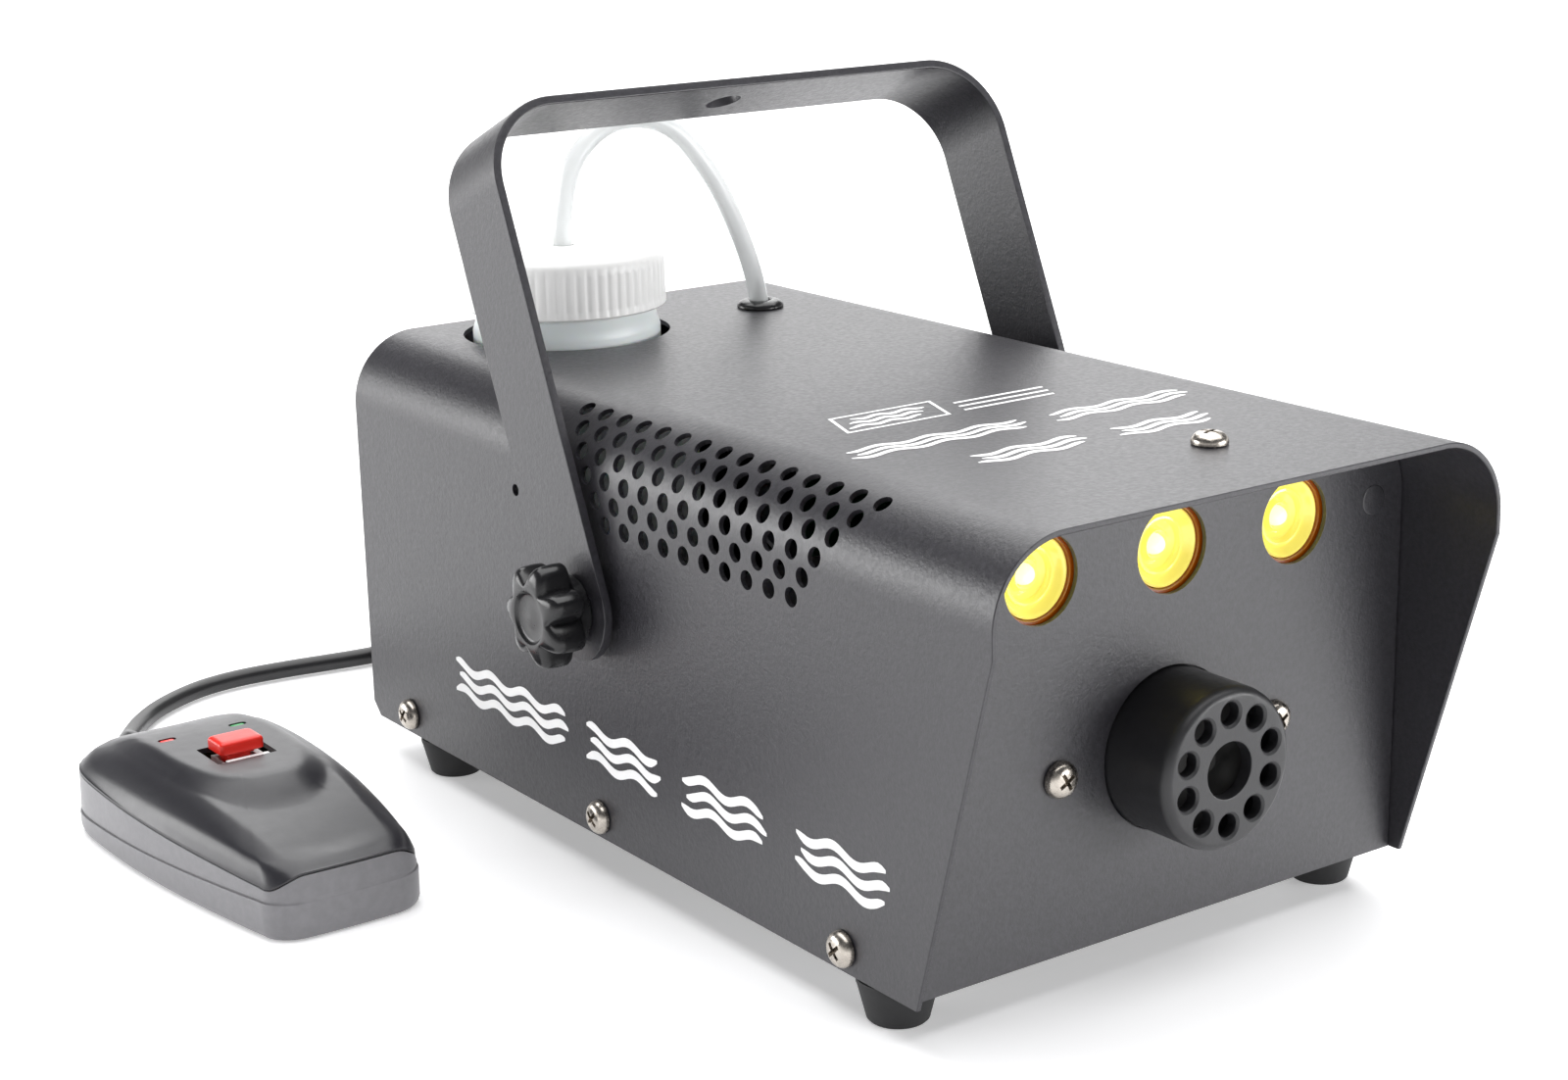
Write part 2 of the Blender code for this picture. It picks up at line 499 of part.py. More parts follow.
grom = lathe("hose_grommet", [(3.3, 115.2), (5.2, 115.2), (6.3, 114.3), (6.3, ZT + GAP), (3.9, ZT + GAP), (3.9, ZT - SHEET - GAP), (5.8, ZT - SHEET - GAP),
                              (5.8, 110.4), (3.3, 110.4)], 'Z', (HOSE_X, HOSE_Y, 0), 14, M_BLACK, ring=True)
finish(grom)

# ---- LED windows ----------------------------------------------------------------------------
for s, tag in ((-1, "left"), (0, "middle"), (1, "right")):
    prof = [(0, 3.0), (4.2, 4.2), (8.6, 4.2), (9.2, 1.5), (11.5, 1.5), (11.5, 2.9), (5.0, 15.0), (0, 15.0)]
    finish(lathe("led_lens_" + tag, prof, 'Y', (s * LED_X, 0, LED_Z), 20, M_AMBER))
finish(box("led_board", -48, 48, 15.4, 17.0, LED_Z - 9, LED_Z + 9, M_PCB), rounded=False)
finish(box("control_board", 62.0, 63.6, 130.0, 222.0, 24.0, 90.0, M_PCB), rounded=False)

# ---- rear controls ----------------------------------------------------------------------------
YR = LEN + GAP
sf = prism("power_switch_frame", rrect(8.0, 11.0, 1.0, 2, PORT_X2, PORT_ZH), 'Y', YR, YR + 1.6, M_BLACK)
boolean(sf, prism("b", rrect(6.5, 9.5, 0.4, 1, PORT_X2, PORT_ZH), 'Y', YR - 20.0, YR + 0.8), 'UNION')
boolean(sf, prism("b", rrect(5.2, 8.2, 0.3, 1, PORT_X2, PORT_ZH), 'Y', YR - 12.0, YR + 6.0))
finish(sf, rounded=False)
RK_Y = LEN - 4.0
rk = [(-6.9, 6.2), (-3.5, 4.6), (0, 4.1), (3.5, 4.6), (6.9, 6.2), (6.3, -3.0), (3.0, -5.2), (-3.0, -5.2), (-6.3, -3.0)]
a = radians(8.0)
rk = [(z * sin(a) + y * cos(a), z * cos(a) - y * sin(a)) for (z, y) in rk]
rocker = prism("power_rocker", rk, 'X', PORT_X2 - 4.8, PORT_X2 + 4.8, M_RED, (0, RK_Y, PORT_ZH))
finish(rocker, (PORT_X2, RK_Y, PORT_ZH), rounded=False)

inlet = prism("mains_inlet", rrect(15.5, 12.0, 3.0, 3, PORT_X2, PORT_ZL), 'Y', YR, YR + 2.2, M_BLACK)
boolean(inlet, prism("b", rrect(13.4, 9.9, 1.8, 3, PORT_X2, PORT_ZL), 'Y', YR - 22.0, YR + 1.0), 'UNION')
sock = [(-11.6, -8.0), (11.6, -8.0), (11.6, 3.5), (7.0, 8.0), (-7.0, 8.0), (-11.6, 3.5)]
boolean(inlet, prism("s", [(PORT_X2 + p[0], PORT_ZL + p[1]) for p in sock], 'Y', YR - 16.0, YR + 8.0))
pins = [box("p", PORT_X2 + dx - 1.0, PORT_X2 + dx + 1.0, YR - 18.0, YR - 3.0, PORT_ZL + dz - 2.0, PORT_ZL + dz + 2.0) for dx, dz in ((-7, -2.5), (0, 2.5), (7, -2.5))]
boolean(inlet, pins, 'UNION')
finish(inlet, rounded=False)

fuse = lathe("fuse_holder", [(0, YR + 5.0), (5.0, YR + 5.0), (6.6, YR + 4.0), (7.2, YR + 1.2), (8.4, YR + 1.0), (8.4, YR), (6.0, YR), (6.0, YR - 24.0),
                             (3.0, YR - 24.0), (3.0, YR - 30.0), (0, YR - 30.0)], 'Y', (PORT_X1, 0, PORT_ZH), 16, M_BLACK)
boolean(fuse, box("s", PORT_X1 - 4.0, PORT_X1 + 4.0, YR + 4.0, YR + 8.0, PORT_ZH - 0.7, PORT_ZH + 0.7))
finish(fuse)
rs = lathe("remote_socket", [(5.2, YR + 1.4), (9.0, YR + 1.4), (9.4, YR + 0.9), (9.4, YR), (7.0, YR), (7.0, YR - 16.0), (0, YR - 16.0), (0, YR - 10.0),
                             (5.2, YR - 10.0)], 'Y', (PORT_X1, 0, PORT_ZL), 18, M_BLACK, ring=True)
finish(rs)

# ---- feet and screws ----------------------------------------------------------------------------
for sx, a_ in ((-1, "left"), (1, "right")):
    for y, b_ in ((FOOT_YF, "front"), (FOOT_YR, "rear")):
        prof = [(0, 0), (6.8, 0), (8.9, FOOT_H - 1.2), (8.9, FOOT_H - GAP), (2.6, FOOT_H - GAP), (2.6, 13.2), (0, 13.2)]
        finish(lathe("foot_%s_%s" % (b_, a_), prof, 'Z', (sx * FOOT_X, y, 0), 14, M_RUBBER))

def screw_mesh():
    # pan head with a cross recess, underside of the head at 0, axis +Z
    prof = [(0, -5.0), (1.8, -5.0), (1.8, 0.0), (4.1, 0.0), (4.1, 0.9), (2.9, 2.2), (0, 2.6)]
    o = lathe("screw_tmp", prof, 'Z', (0, 0, 0), 12, M_NICKEL)
    cross = box("c1", -2.3, 2.3, -0.45, 0.45, 1.1, 4.0)
    boolean(cross, box("c2", -0.45, 0.45, -2.3, 2.3, 1.1, 4.0), 'UNION')
    boolean(o, cross)
    return o

def screw(name, p, rot):
    o = screw_mesh()
    o.name = name
    o.data.transform(Matrix.Translation(Vector(p) * MM) @ rot)
    return finish(o)
for side, tag in ((-1, "left"), (1, "right")):
    for y, b_ in zip(SCREW_Y, ("front", "middle", "rear")):
        screw("screw_%s_%s" % (tag, b_), (side * (W / 2 + GAP), y, SCREW_Z),
              Matrix.Rotation(radians(90 * side), 4, 'Y') @ Matrix.Rotation(radians(20 + y), 4, 'Z'))
screw("screw_top", (15.0, 5.0, ZT + GAP), Matrix.Rotation(radians(15), 4, 'Z'))
for side, tag in ((-1, "left"), (1, "right")):
    screw("screw_front_" + tag, (side * 31.0, -GAP, NOZ_Z), Matrix.Rotation(radians(90), 4, 'X') @ Matrix.Rotation(radians(30), 4, 'Z'))

# ---- handset ------------------------------------------------------------------------------------
def half_width(t):
    if t <= 0.72:
        return 19.0 + 9.6 * sin(pi / 2 * t / 0.72)
    return 28.6 * sqrt(max(0.0, 1 - ((t - 0.72) / 0.28) ** 4))

TS = [0.014, 0.07, 0.17, 0.30, 0.45, 0.60, 0.74, 0.85, 0.92, 0.97]
def outline(inset, z):
    pts = []
    side = [(half_width(t), REM_Y0 + REM_L * t) for t in TS]
    nose = [(0.0, REM_Y0 - 0.6), (9.0, REM_Y0 - 0.4), (16.5, REM_Y0)]
    tail = [(9.0, REM_Y0 + REM_L * 0.9995), (0.0, REM_Y0 + REM_L)]
    h = nose + side + tail
    full = h + [(-x, y) for (x, y) in reversed(h[1:-1])]
    n = len(full)
    out = []
    for i in range(n):
        ax, ay = full[i - 1]
        bx, by = full[(i + 1) % n]
        tx, ty = bx - ax, by - ay
        l = hypot(tx, ty)
        out.append((REM_X + full[i][0] - inset * ty / l, full[i][1] + inset * tx / l, z))
    return out

RY = 188.0
def dome(s, z_edge, rise):
    base = outline(1.0, 0.0)
    return [(REM_X + (p[0] - REM_X) * s, RY + (p[1] - RY) * s, z_edge + rise * (1 - s ** 1.8)) for p in base]

Z_CREASE = 15.5
base_rows = [outline(2.2, 0.0), outline(1.2, 0.8), outline(0.3, 4.5), outline(0.3, 5.6), outline(0.9, 6.2), outline(1.0, Z_CREASE),
             outline(2.6, Z_CREASE), outline(2.8, 2.0)]
rb = rings("remote_base_shell", base_rows, M_REM_L)
finish(rb, (REM_X, RY, 0.0))
z1 = Z_CREASE + GAP
outer = [outline(1.0, z1)] + [dome(s, z1, 9.6) for s in (0.96, 0.86, 0.72, 0.55, 0.36, 0.16)]
innr = [dome(s, z1 - 1.6, 9.6) for s in (0.16, 0.36, 0.55, 0.72, 0.86)]
lip = [(REM_X + (p[0] - REM_X) * 0.9, RY + (p[1] - RY) * 0.9, z1) for p in outline(1.0, z1)]
n = len(outer[0])
rowsT = [lip] + outer
vs = []
allrows = [lip] + outer + innr
for row in allrows:
    vs += row
fs = []
def band(k, l):
    for i in range(n):
        j = (i + 1) % n
        fs.append((k * n + i, k * n + j, l * n + j, l * n + i))
seq = list(range(len(allrows)))
k_out_last = len(outer)
for k in range(0, k_out_last):
    band(k, k + 1)
for k in range(k_out_last + 1, len(allrows) - 1):
    band(k, k + 1)
band(len(allrows) - 1, 0)
for k in (k_out_last, k_out_last + 1):
    row = allrows[k]
    vs.append((sum(p[0] for p in row) / n, sum(p[1] for p in row) / n, row[0][2] + 0.02))
    for i in range(n):
        fs.append((len(vs) - 1, k * n + i, k * n + (i + 1) % n))
rt = raw("remote_top_shell", vs, fs, M_REM_D)
CUT = (REM_X - 7.75, REM_X + 7.75, 181.5, 194.5)
LEDS = ((REM_X - 10.0, 207.0), (REM_X + 8.8, 207.0))
cuts = [box("c", CUT[0], CUT[1], CUT[2], CUT[3], 16.5, 40.0)]
for lx, ly in LEDS:
    cuts.append(box("c", lx - 2.7, lx + 2.7, ly - 1.5, ly + 1.5, 16.5, 40.0))
boolean(rt, cuts)
finish(rt, (REM_X, RY, 0.0))
finish(box("remote_switch_body", CUT[0] + 0.8, CUT[1] - 0.8, CUT[2] + 0.4, CUT[3] - 0.4, 5.0, 22.6, M_WHITE), rounded=False)
bt = prism("remote_button", rrect(6.3, 4.6, 0.8, 2, REM_X, 189.2), 'Z', 25.2, 28.6, M_RED)
boolean(bt, prism("stem", rrect(4.5, 3.2, 0.5, 1, REM_X, 189.2), 'Z', 22.9 + 2.0, 26.0), 'UNION')
finish(bt, (REM_X, 189.2, 25.2), rounded=False)
for (lx, ly), nm, mm_ in zip(LEDS, ("remote_led_red", "remote_led_green"), (M_RED, M_GREEN)):
    finish(box(nm, lx - 2.2, lx + 2.2, ly - 1.1, ly + 1.1, 8.0, 23.3, mm_), rounded=False)
sr = lathe("remote_strain_relief", [(0, 240.3), (4.6, 240.3), (4.4, 244.0), (3.4, 252.0), (0, 252.0)], 'Y', (REM_X, 0, 9.5), 18, M_BLACK)
finish(sr, (REM_X, 240.3, 9.5))

# ---- handset cable: plug, two runs and the put-away coil -------------------------------------------
plug = lathe("remote_plug", [(0, YR - 8.0), (4.8, YR - 8.0), (4.8, YR + 1.7), (7.2, YR + 1.7), (7.2, YR + 14.0), (5.0, YR + 16.0), (3.4, YR + 24.0), (0, YR + 24.0)],
             'Y', (PORT_X1, 0, PORT_ZL), 14, M_BLACK)
finish(plug, (PORT_X1, YR, PORT_ZL))
CR = 2.5
coil = lathe("remote_cable_coil", [(20.6, 0.15), (34.0, 0.15), (36.0, 2.2), (36.0, 14.2), (34.0, 16.2), (20.6, 16.2), (18.6, 14.2), (18.6, 2.2)], 'Z',
             (COIL_X, COIL_Y, 0), 24, M_RUBBER, ring=True)
finish(coil)
run_b = tube("remote_cable_run_b", smooth_path([(PORT_X1, YR + 24.6, PORT_ZL), (PORT_X1, YR + 27.5, PORT_ZL - 0.1), (PORT_X1, YR + 32.5, PORT_ZL - 1.2),
                                                (PORT_X1, YR + 37.2, PORT_ZL - 4.8), (PORT_X1, YR + 41.2, PORT_ZL - 9.4), (PORT_X1 - 0.2, YR + 43.6, PORT_ZL - 12.4)], 5.0), CR, 8, M_RUBBER)
finish(run_b)
run_a = tube("remote_cable_run_a", smooth_path([(REM_X, 252.6, 9.5), (REM_X, 256.0, 9.4), (REM_X + 1.2, 262.0, 7.9), (REM_X + 5.0, 272.0, 4.6), (-117.1, 287.3, 2.7), (-107.2, 296.4, 2.7),
                                                (-93.4, 304.0, 2.7), (-80.0, 306.6, 2.7), (-65.2, 305.7, 2.7), (-52.0, 303.6, 2.7), (-44.0, 302.4, 2.7), (-36.5, 301.9, 2.7)], 10.0), CR, 8, M_RUBBER)
finish(run_a)
bpy.context.view_layer.update()
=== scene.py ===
import bpy, bmesh
from math import sin, cos, pi, radians, degrees, sqrt, hypot, atan2
from mathutils import Vector, Matrix


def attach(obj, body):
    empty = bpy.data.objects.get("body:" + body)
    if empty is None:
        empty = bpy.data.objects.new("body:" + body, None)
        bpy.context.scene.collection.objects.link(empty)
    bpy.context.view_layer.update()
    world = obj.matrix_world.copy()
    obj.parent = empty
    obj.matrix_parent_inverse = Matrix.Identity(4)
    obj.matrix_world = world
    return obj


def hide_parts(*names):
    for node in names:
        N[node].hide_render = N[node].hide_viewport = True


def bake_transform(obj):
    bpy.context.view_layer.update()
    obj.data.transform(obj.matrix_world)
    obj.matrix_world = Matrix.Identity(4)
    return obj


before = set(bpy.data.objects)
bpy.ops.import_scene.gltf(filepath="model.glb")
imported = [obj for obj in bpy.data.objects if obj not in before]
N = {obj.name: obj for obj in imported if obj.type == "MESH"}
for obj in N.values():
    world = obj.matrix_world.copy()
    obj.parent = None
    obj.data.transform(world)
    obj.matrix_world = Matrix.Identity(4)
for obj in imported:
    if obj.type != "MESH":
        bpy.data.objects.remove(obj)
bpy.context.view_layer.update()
MM = 0.001

# ---- the numbers of the CAD, millimetres in the drawing's own origin -------------
SHIFT_X, SHIFT_Y = 35.7, -112.5
W, HH, LEN, SHEET, RC, FOOT_H = 142.4, 103.4, 235.0, 1.2, 18.0, 10.0
Z0 = FOOT_H
ZT = Z0 + HH
HOOD, HOOD_LOW, HOOD_Z, REAR_CH, GAP = 27.0, 3.0, Z0 + 80.6, 3.5, 0.3
VENT_P, VENT_ROW, VENT_D, VENT_C, VENT_Z1 = 8.1, 5.15, 4.4, 74.6, Z0 + 78.2
PIV_Y, PIV_Z = 117.65, 68.0
YOKE_OUT, YOKE_T, YOKE_HW, YOKE_D, YOKE_R, LEAN = 75.9, 2.2, 12.5, 118.0, 20.0, radians(23.5)
KNOB_H = 12.5
LED_X, LED_Z, LED_R = 36.0, Z0 + 84.0, 9.75
NOZ_Z, NOZ_R, NOZ_L = Z0 + 40.0, 18.0, 18.5
TANK_X, TANK_Y, HOSE_X, HOSE_Y, HOSE_R = -23.6, 204.8, 33.4, 198.0, 2.5
SCREW_Y, SCREW_Z = (21.6, 118.0, 213.0), Z0 + 5.4
FOOT_X, FOOT_YF, FOOT_YR = 62.5, 14.5, 206.0
REM_X, REM_Y0, REM_L, RY = -131.8, 127.5, 112.5, 188.0
COIL_X, COIL_Y = -6.5, 276.0
PORT_X1, PORT_X2, PORT_ZL, PORT_ZH = 14.2, 40.0, 34.0, 76.0
YR = LEN + GAP

def Wp(p):
    return Vector((p[0] + SHIFT_X, p[1] + SHIFT_Y, p[2])) * MM

# ---- camera --------------------------------------------------------------------------
scene = bpy.context.scene
cam_d = bpy.data.cameras.new("camera")
cam = bpy.data.objects.new("camera", cam_d)
scene.collection.objects.link(cam)
cam.location = (-0.38360 + SHIFT_X * MM, -0.40509 + SHIFT_Y * MM, 0.24078 + FOOT_H * MM)
cam.rotation_euler = (radians(74.506), radians(1.197), radians(-35.387))
cam_d.lens = 62.84
cam_d.sensor_width = 36.0
cam_d.sensor_fit = 'HORIZONTAL'
cam_d.clip_start = 0.01
cam_d.clip_end = 50
scene.camera = cam
scene.view_settings.view_transform = 'Standard'
scene.view_settings.look = 'None'

# ---- materials ---------------------------------------------------------------------------
class Mat:
    def __init__(self, name, rgb, rough=0.5, metal=0.0, **kw):
        self.m = bpy.data.materials.new(name)
        self.m.use_nodes = True
        self.t = self.m.node_tree
        self.b = self.t.nodes["Principled BSDF"]
        self.b.inputs["Base Color"].default_value = (*rgb, 1)
        self.b.inputs["Roughness"].default_value = rough
        self.b.inputs["Metallic"].default_value = metal
        for k, v in kw.items():
            self.b.inputs[k.replace("_", " ")].default_value = v
        self.co = self.t.nodes.new("ShaderNodeTexCoord")
        self.rgb = rgb

    def node(self, kind, **kw):
        n = self.t.nodes.new(kind)
        for k, v in kw.items():
            if k in n.inputs:
                n.inputs[k].default_value = v
            else:
                setattr(n, k, v)
        return n

    def link(self, a, b):
        self.t.links.new(a, b)

    def noise(self, scale, detail=2.0, rough=0.5, stretch=None):
        n = self.node("ShaderNodeTexNoise")
        n.inputs["Scale"].default_value = scale
        n.inputs["Detail"].default_value = detail
        n.inputs["Roughness"].default_value = rough
        if stretch:
            mp = self.node("ShaderNodeMapping")
            mp.inputs["Scale"].default_value = stretch
            self.link(self.co.outputs["Object"], mp.inputs["Vector"])
            self.link(mp.outputs["Vector"], n.inputs["Vector"])
        else:
            self.link(self.co.outputs["Object"], n.inputs["Vector"])
        return n.outputs["Fac"]

    def ramp(self, fac, stops):
        r = self.node("ShaderNodeValToRGB")
        e = r.color_ramp.elements
        while len(e) < len(stops):
            e.new(0.5)
        for i, (p, c) in enumerate(stops):
            e[i].position = p
            e[i].color = (*c, 1) if hasattr(c, "__len__") else (c, c, c, 1)
        self.link(fac, r.inputs["Fac"])
        return r.outputs["Color"]

    def vary(self, scale, amount, detail=3.0):
        f = self.noise(scale, detail)
        a = [max(0.0, c * (1 - amount)) for c in self.rgb]
        b = [min(1.0, c * (1 + amount)) for c in self.rgb]
        self.link(self.ramp(f, [(0.3, a), (0.7, b)]), self.b.inputs["Base Color"])
        return self

    def rough(self, scale, lo, hi, detail=3.0):
        f = self.noise(scale, detail)
        self.link(self.ramp(f, [(0.3, lo), (0.7, hi)]), self.b.inputs["Roughness"])
        return self

    def bump(self, scale, dist, strength=1.0, detail=2.0, stretch=None, second=None):
        bp = self.node("ShaderNodeBump")
        bp.inputs["Strength"].default_value = strength
        bp.inputs["Distance"].default_value = dist
        self.link(self.noise(scale, detail, stretch=stretch), bp.inputs["Height"])
        if second:
            b2 = self.node("ShaderNodeBump")
            b2.inputs["Strength"].default_value = strength
            b2.inputs["Distance"].default_value = second[1]
            self.link(self.noise(second[0], 1.0), b2.inputs["Height"])
            self.link(bp.outputs["Normal"], b2.inputs["Normal"])
            bp = b2
        self.link(bp.outputs["Normal"], self.b.inputs["Normal"])
        return self

COAT = Mat("powder_coat", (0.026, 0.025, 0.030), 0.38, Specular_IOR_Level=0.65).vary(900, 0.22, 2.0).bump(1700, 0.00006, 0.8, 2.0, second=(620, 0.00007)).rough(800, 0.34, 0.43).m
# darker copy of the powder coat for the base tray: painted shade, so the inside seen through the vents reads dark
COAT_INNER_SHADE = Mat("powder_coat_inner", (0.012, 0.012, 0.014), 0.55).vary(900, 0.2).bump(1500, 0.00005, 0.6).m
PANEL = Mat("powder_coat_panel", (0.028, 0.027, 0.032), 0.40, Specular_IOR_Level=0.75).vary(900, 0.22, 2.0).bump(1700, 0.00006, 0.8, 2.0, second=(620, 0.00007)).rough(800, 0.36, 0.45).m
YOKEM = Mat("powder_coat_yoke", (0.024, 0.023, 0.028), 0.36, Specular_IOR_Level=0.65).vary(900, 0.22, 2.0).bump(1700, 0.00006, 0.8, 2.0, second=(620, 0.00007)).rough(800, 0.32, 0.41).m
STEEL = Mat("zinc_steel", (0.55, 0.56, 0.58), 0.35, 1.0).rough(300, 0.28, 0.45).bump(900, 0.00002, 0.5).m
NICKEL = Mat("nickel", (0.50, 0.46, 0.41), 0.24, 1.0).rough(900, 0.17, 0.34).vary(700, 0.10).bump(1400, 0.000015, 0.4).m
GLOSSBLK = Mat("gloss_black_plastic", (0.010, 0.010, 0.011), 0.22).rough(200, 0.18, 0.30).bump(700, 0.00001, 0.4).m
SATINBLK = Mat("satin_black_plastic", (0.014, 0.014, 0.015), 0.38).rough(200, 0.32, 0.45).bump(900, 0.00002, 0.5).m
SHROUD = Mat("nozzle_plastic", (0.014, 0.014, 0.016), 0.42, Specular_IOR_Level=0.6).vary(600, 0.15).bump(1300, 0.00004, 0.7).rough(600, 0.38, 0.48).m
RUBBER = Mat("rubber", (0.016, 0.016, 0.017), 0.72).vary(120, 0.2).bump(700, 0.00004, 0.7).m
CABLE = Mat("cable_rubber", (0.014, 0.014, 0.015), 0.36).vary(400, 0.15).bump(700, 0.00002, 0.5).m
WHITE = Mat("white_plastic", (0.90, 0.90, 0.89), 0.35).vary(60, 0.02).bump(600, 0.00002, 0.4).m
PE = Mat("natural_polyethylene", (0.90, 0.90, 0.89), 0.32, Subsurface_Weight=0.15).vary(30, 0.02).bump(150, 0.00005, 0.4).m
HOSEM = Mat("clear_hose", (0.86, 0.88, 0.88), 0.22, Transmission_Weight=0.35).vary(40, 0.02).bump(300, 0.00002, 0.3).m
ALU = Mat("cast_aluminium", (0.55, 0.55, 0.56), 0.5, 1.0).vary(200, 0.12).bump(600, 0.0001, 0.7).m
BRASS = Mat("brass", (0.75, 0.55, 0.25), 0.28, 1.0).rough(300, 0.2, 0.36).bump(500, 0.00002, 0.4).m
PCB = Mat("circuit_board", (0.02, 0.14, 0.05), 0.45).vary(150, 0.2).bump(400, 0.00003, 0.5).m
LIGHTG = Mat("handset_light", (0.185, 0.182, 0.192), 0.36).vary(500, 0.06).bump(1300, 0.00003, 0.6).m
DARKG = Mat("handset_dark", (0.020, 0.0195, 0.024), 0.30, Specular_IOR_Level=0.5).vary(700, 0.08).bump(1100, 0.000012, 0.5).rough(300, 0.30, 0.35).m
RED = Mat("red_plastic", (0.85, 0.022, 0.012), 0.32).vary(90, 0.05).bump(700, 0.00002, 0.4).m
LEDR = Mat("red_led", (0.75, 0.03, 0.03), 0.2, Emission_Color=(1, 0.05, 0.03, 1), Emission_Strength=0.45).vary(400, 0.1).bump(500, 0.00002, 0.3).m
LEDG = Mat("green_led", (0.03, 0.30, 0.08), 0.2, Emission_Color=(0.05, 0.6, 0.15, 1), Emission_Strength=0.22).vary(400, 0.1).bump(500, 0.00002, 0.3).m
STRAP = Mat("woven_strap", (0.03, 0.03, 0.032), 0.8).vary(300, 0.25).bump(1800, 0.00012, 0.9).m
# near-black steel: painted shade inside the nozzle, on the tip and on the disc behind the face holes
NOZZLE_SHADE_STEEL = Mat("sooted_steel", (0.010, 0.0095, 0.009), 0.7, 0.2).vary(200, 0.3).bump(800, 0.00003, 0.5).m
INK = Mat("white_print", (0.90, 0.90, 0.90), 0.5).vary(200, 0.03).bump(1500, 0.00002, 0.5).m
def amber(name, rgb, em, es, rough=0.12):
    m = Mat(name, rgb, rough)
    m.b.inputs["Emission Color"].default_value = (*em, 1)
    m.b.inputs["Emission Strength"].default_value = es
    m.b.inputs["Coat Weight"].default_value = 0.6
    m.vary(150, 0.08)
    m.bump(300, 0.00003, 0.3)
    return m.m
AMB_CUP = amber("amber_cup", (0.95, 0.84, 0.16), (1.0, 0.86, 0.20), 0.26)
# dark orange rim colour: amber tint plus painted shade of the lens edge
AMB_RIM_SHADE = amber("amber_rim", (0.24, 0.045, 0.0), (0.9, 0.18, 0.0), 0.05)
AMB_CORE = amber("amber_core", (1.0, 0.93, 0.45), (1.0, 0.96, 0.60), 1.0)

# ---- mesh helpers -----------------------------------------------------------------------------
def obj_from(name, verts, faces, m=None):
    me = bpy.data.meshes.new(name)
    me.from_pydata([tuple(Wp(v)) for v in verts], [], faces)
    bm = bmesh.new()
    bm.from_mesh(me)
    bmesh.ops.remove_doubles(bm, verts=bm.verts, dist=1e-8)
    bmesh.ops.recalc_face_normals(bm, faces=bm.faces)
    bm.to_mesh(me)
    bm.free()
    o = bpy.data.objects.new(name, me)
    scene.collection.objects.link(o)
    if m:
        me.materials.append(m)
    return o

def to_axis(axis, c, u, v, a):
    if axis == 'X':
        return (c[0] + a, c[1] + u, c[2] + v)
    if axis == 'Y':
        return (c[0] + u, c[1] + a, c[2] + v)
    return (c[0] + u, c[1] + v, c[2] + a)

def prism(name, pts, axis, a0, a1, m=None, c=(0, 0, 0)):
    n = len(pts)
    vs = [to_axis(axis, c, p[0], p[1], a0) for p in pts] + [to_axis(axis, c, p[0], p[1], a1) for p in pts]
    fs = [tuple(range(n)), tuple(range(2 * n - 1, n - 1, -1))]
    fs += [(i, (i + 1) % n, n + (i + 1) % n, n + i) for i in range(n)]
    return obj_from(name, vs, fs, m)

def box(name, x0, x1, y0, y1, z0, z1, m=None):
    return prism(name, [(x0, y0), (x1, y0), (x1, y1), (x0, y1)], 'Z', z0, z1, m)

def circle(r, n, cx=0.0, cy=0.0, ph=0.0):
    return [(cx + r * cos(2 * pi * i / n + ph), cy + r * sin(2 * pi * i / n + ph)) for i in range(n)]

def rrect(hx, hy, r, n, cx=0.0, cy=0.0):
    out = []
    for k, (sx, sy) in enumerate(((1, 1), (-1, 1), (-1, -1), (1, -1))):
        for i in range(n + 1):
            a = pi / 2 * k + pi / 2 * i / n
            out.append((cx + sx * (hx - r) + r * cos(a), cy + sy * (hy - r) + r * sin(a)))
    return out

def lathe(name, prof, axis, c, n, m=None, ring=False, wave=None):
    vs, idx = [], []
    for k, (r, a) in enumerate(prof):
        if r <= 1e-9:
            idx.append([len(vs)])
            vs.append(to_axis(axis, c, 0.0, 0.0, a))
        else:
            row = []
            for i in range(n):
                t = 2 * pi * i / n
                rr = r if wave is None else wave(k, r, t)
                row.append(len(vs))
                vs.append(to_axis(axis, c, rr * cos(t), rr * sin(t), a))
            idx.append(row)
    fs = []
    pairs = list(zip(idx[:-1], idx[1:]))
    if ring:
        pairs.append((idx[-1], idx[0]))
    for A, B in pairs:
        if len(A) == 1 and len(B) == 1:
            continue
        for i in range(n):
            j = (i + 1) % n
            if len(A) == 1:
                fs.append((A[0], B[i], B[j]))
            elif len(B) == 1:
                fs.append((A[i], B[0], A[j]))
            else:
                fs.append((A[i], B[i], B[j], A[j]))
    return obj_from(name, vs, fs, m)

def rings(name, rows, m=None, caps=True, closed=False):
    n = len(rows[0])
    vs = [p for row in rows for p in row]
    fs = []
    last = len(rows) - 1
    for k in range(last + (1 if closed else 0)):
        k2 = (k + 1) % len(rows)
        for i in range(n):
            j = (i + 1) % n
            fs.append((k * n + i, k * n + j, k2 * n + j, k2 * n + i))
    if caps and not closed:
        for k in (0, last):
            vs.append(tuple(sum(p[a] for p in rows[k]) / n for a in range(3)))
            ci = len(vs) - 1
            for i in range(n):
                fs.append((ci, k * n + (i + 1) % n, k * n + i))
    return obj_from(name, vs, fs, m)

def smooth_path(pts, step):
    P = [Vector(p) for p in pts]
    P = [P[0] * 2 - P[1]] + P + [P[-1] * 2 - P[-2]]
    out = []
    for i in range(1, len(P) - 2):
        d = (P[i + 1] - P[i]).length
        k = max(1, int(round(d / step)))
        for s in range(k):
            t = s / k
            out.append(0.5 * ((2 * P[i]) + (P[i + 1] - P[i - 1]) * t
                              + (2 * P[i - 1] - 5 * P[i] + 4 * P[i + 1] - P[i + 2]) * t * t
                              + (3 * P[i] - P[i - 1] - 3 * P[i + 1] + P[i + 2]) * t ** 3))
    out.append(P[-2])
    return out

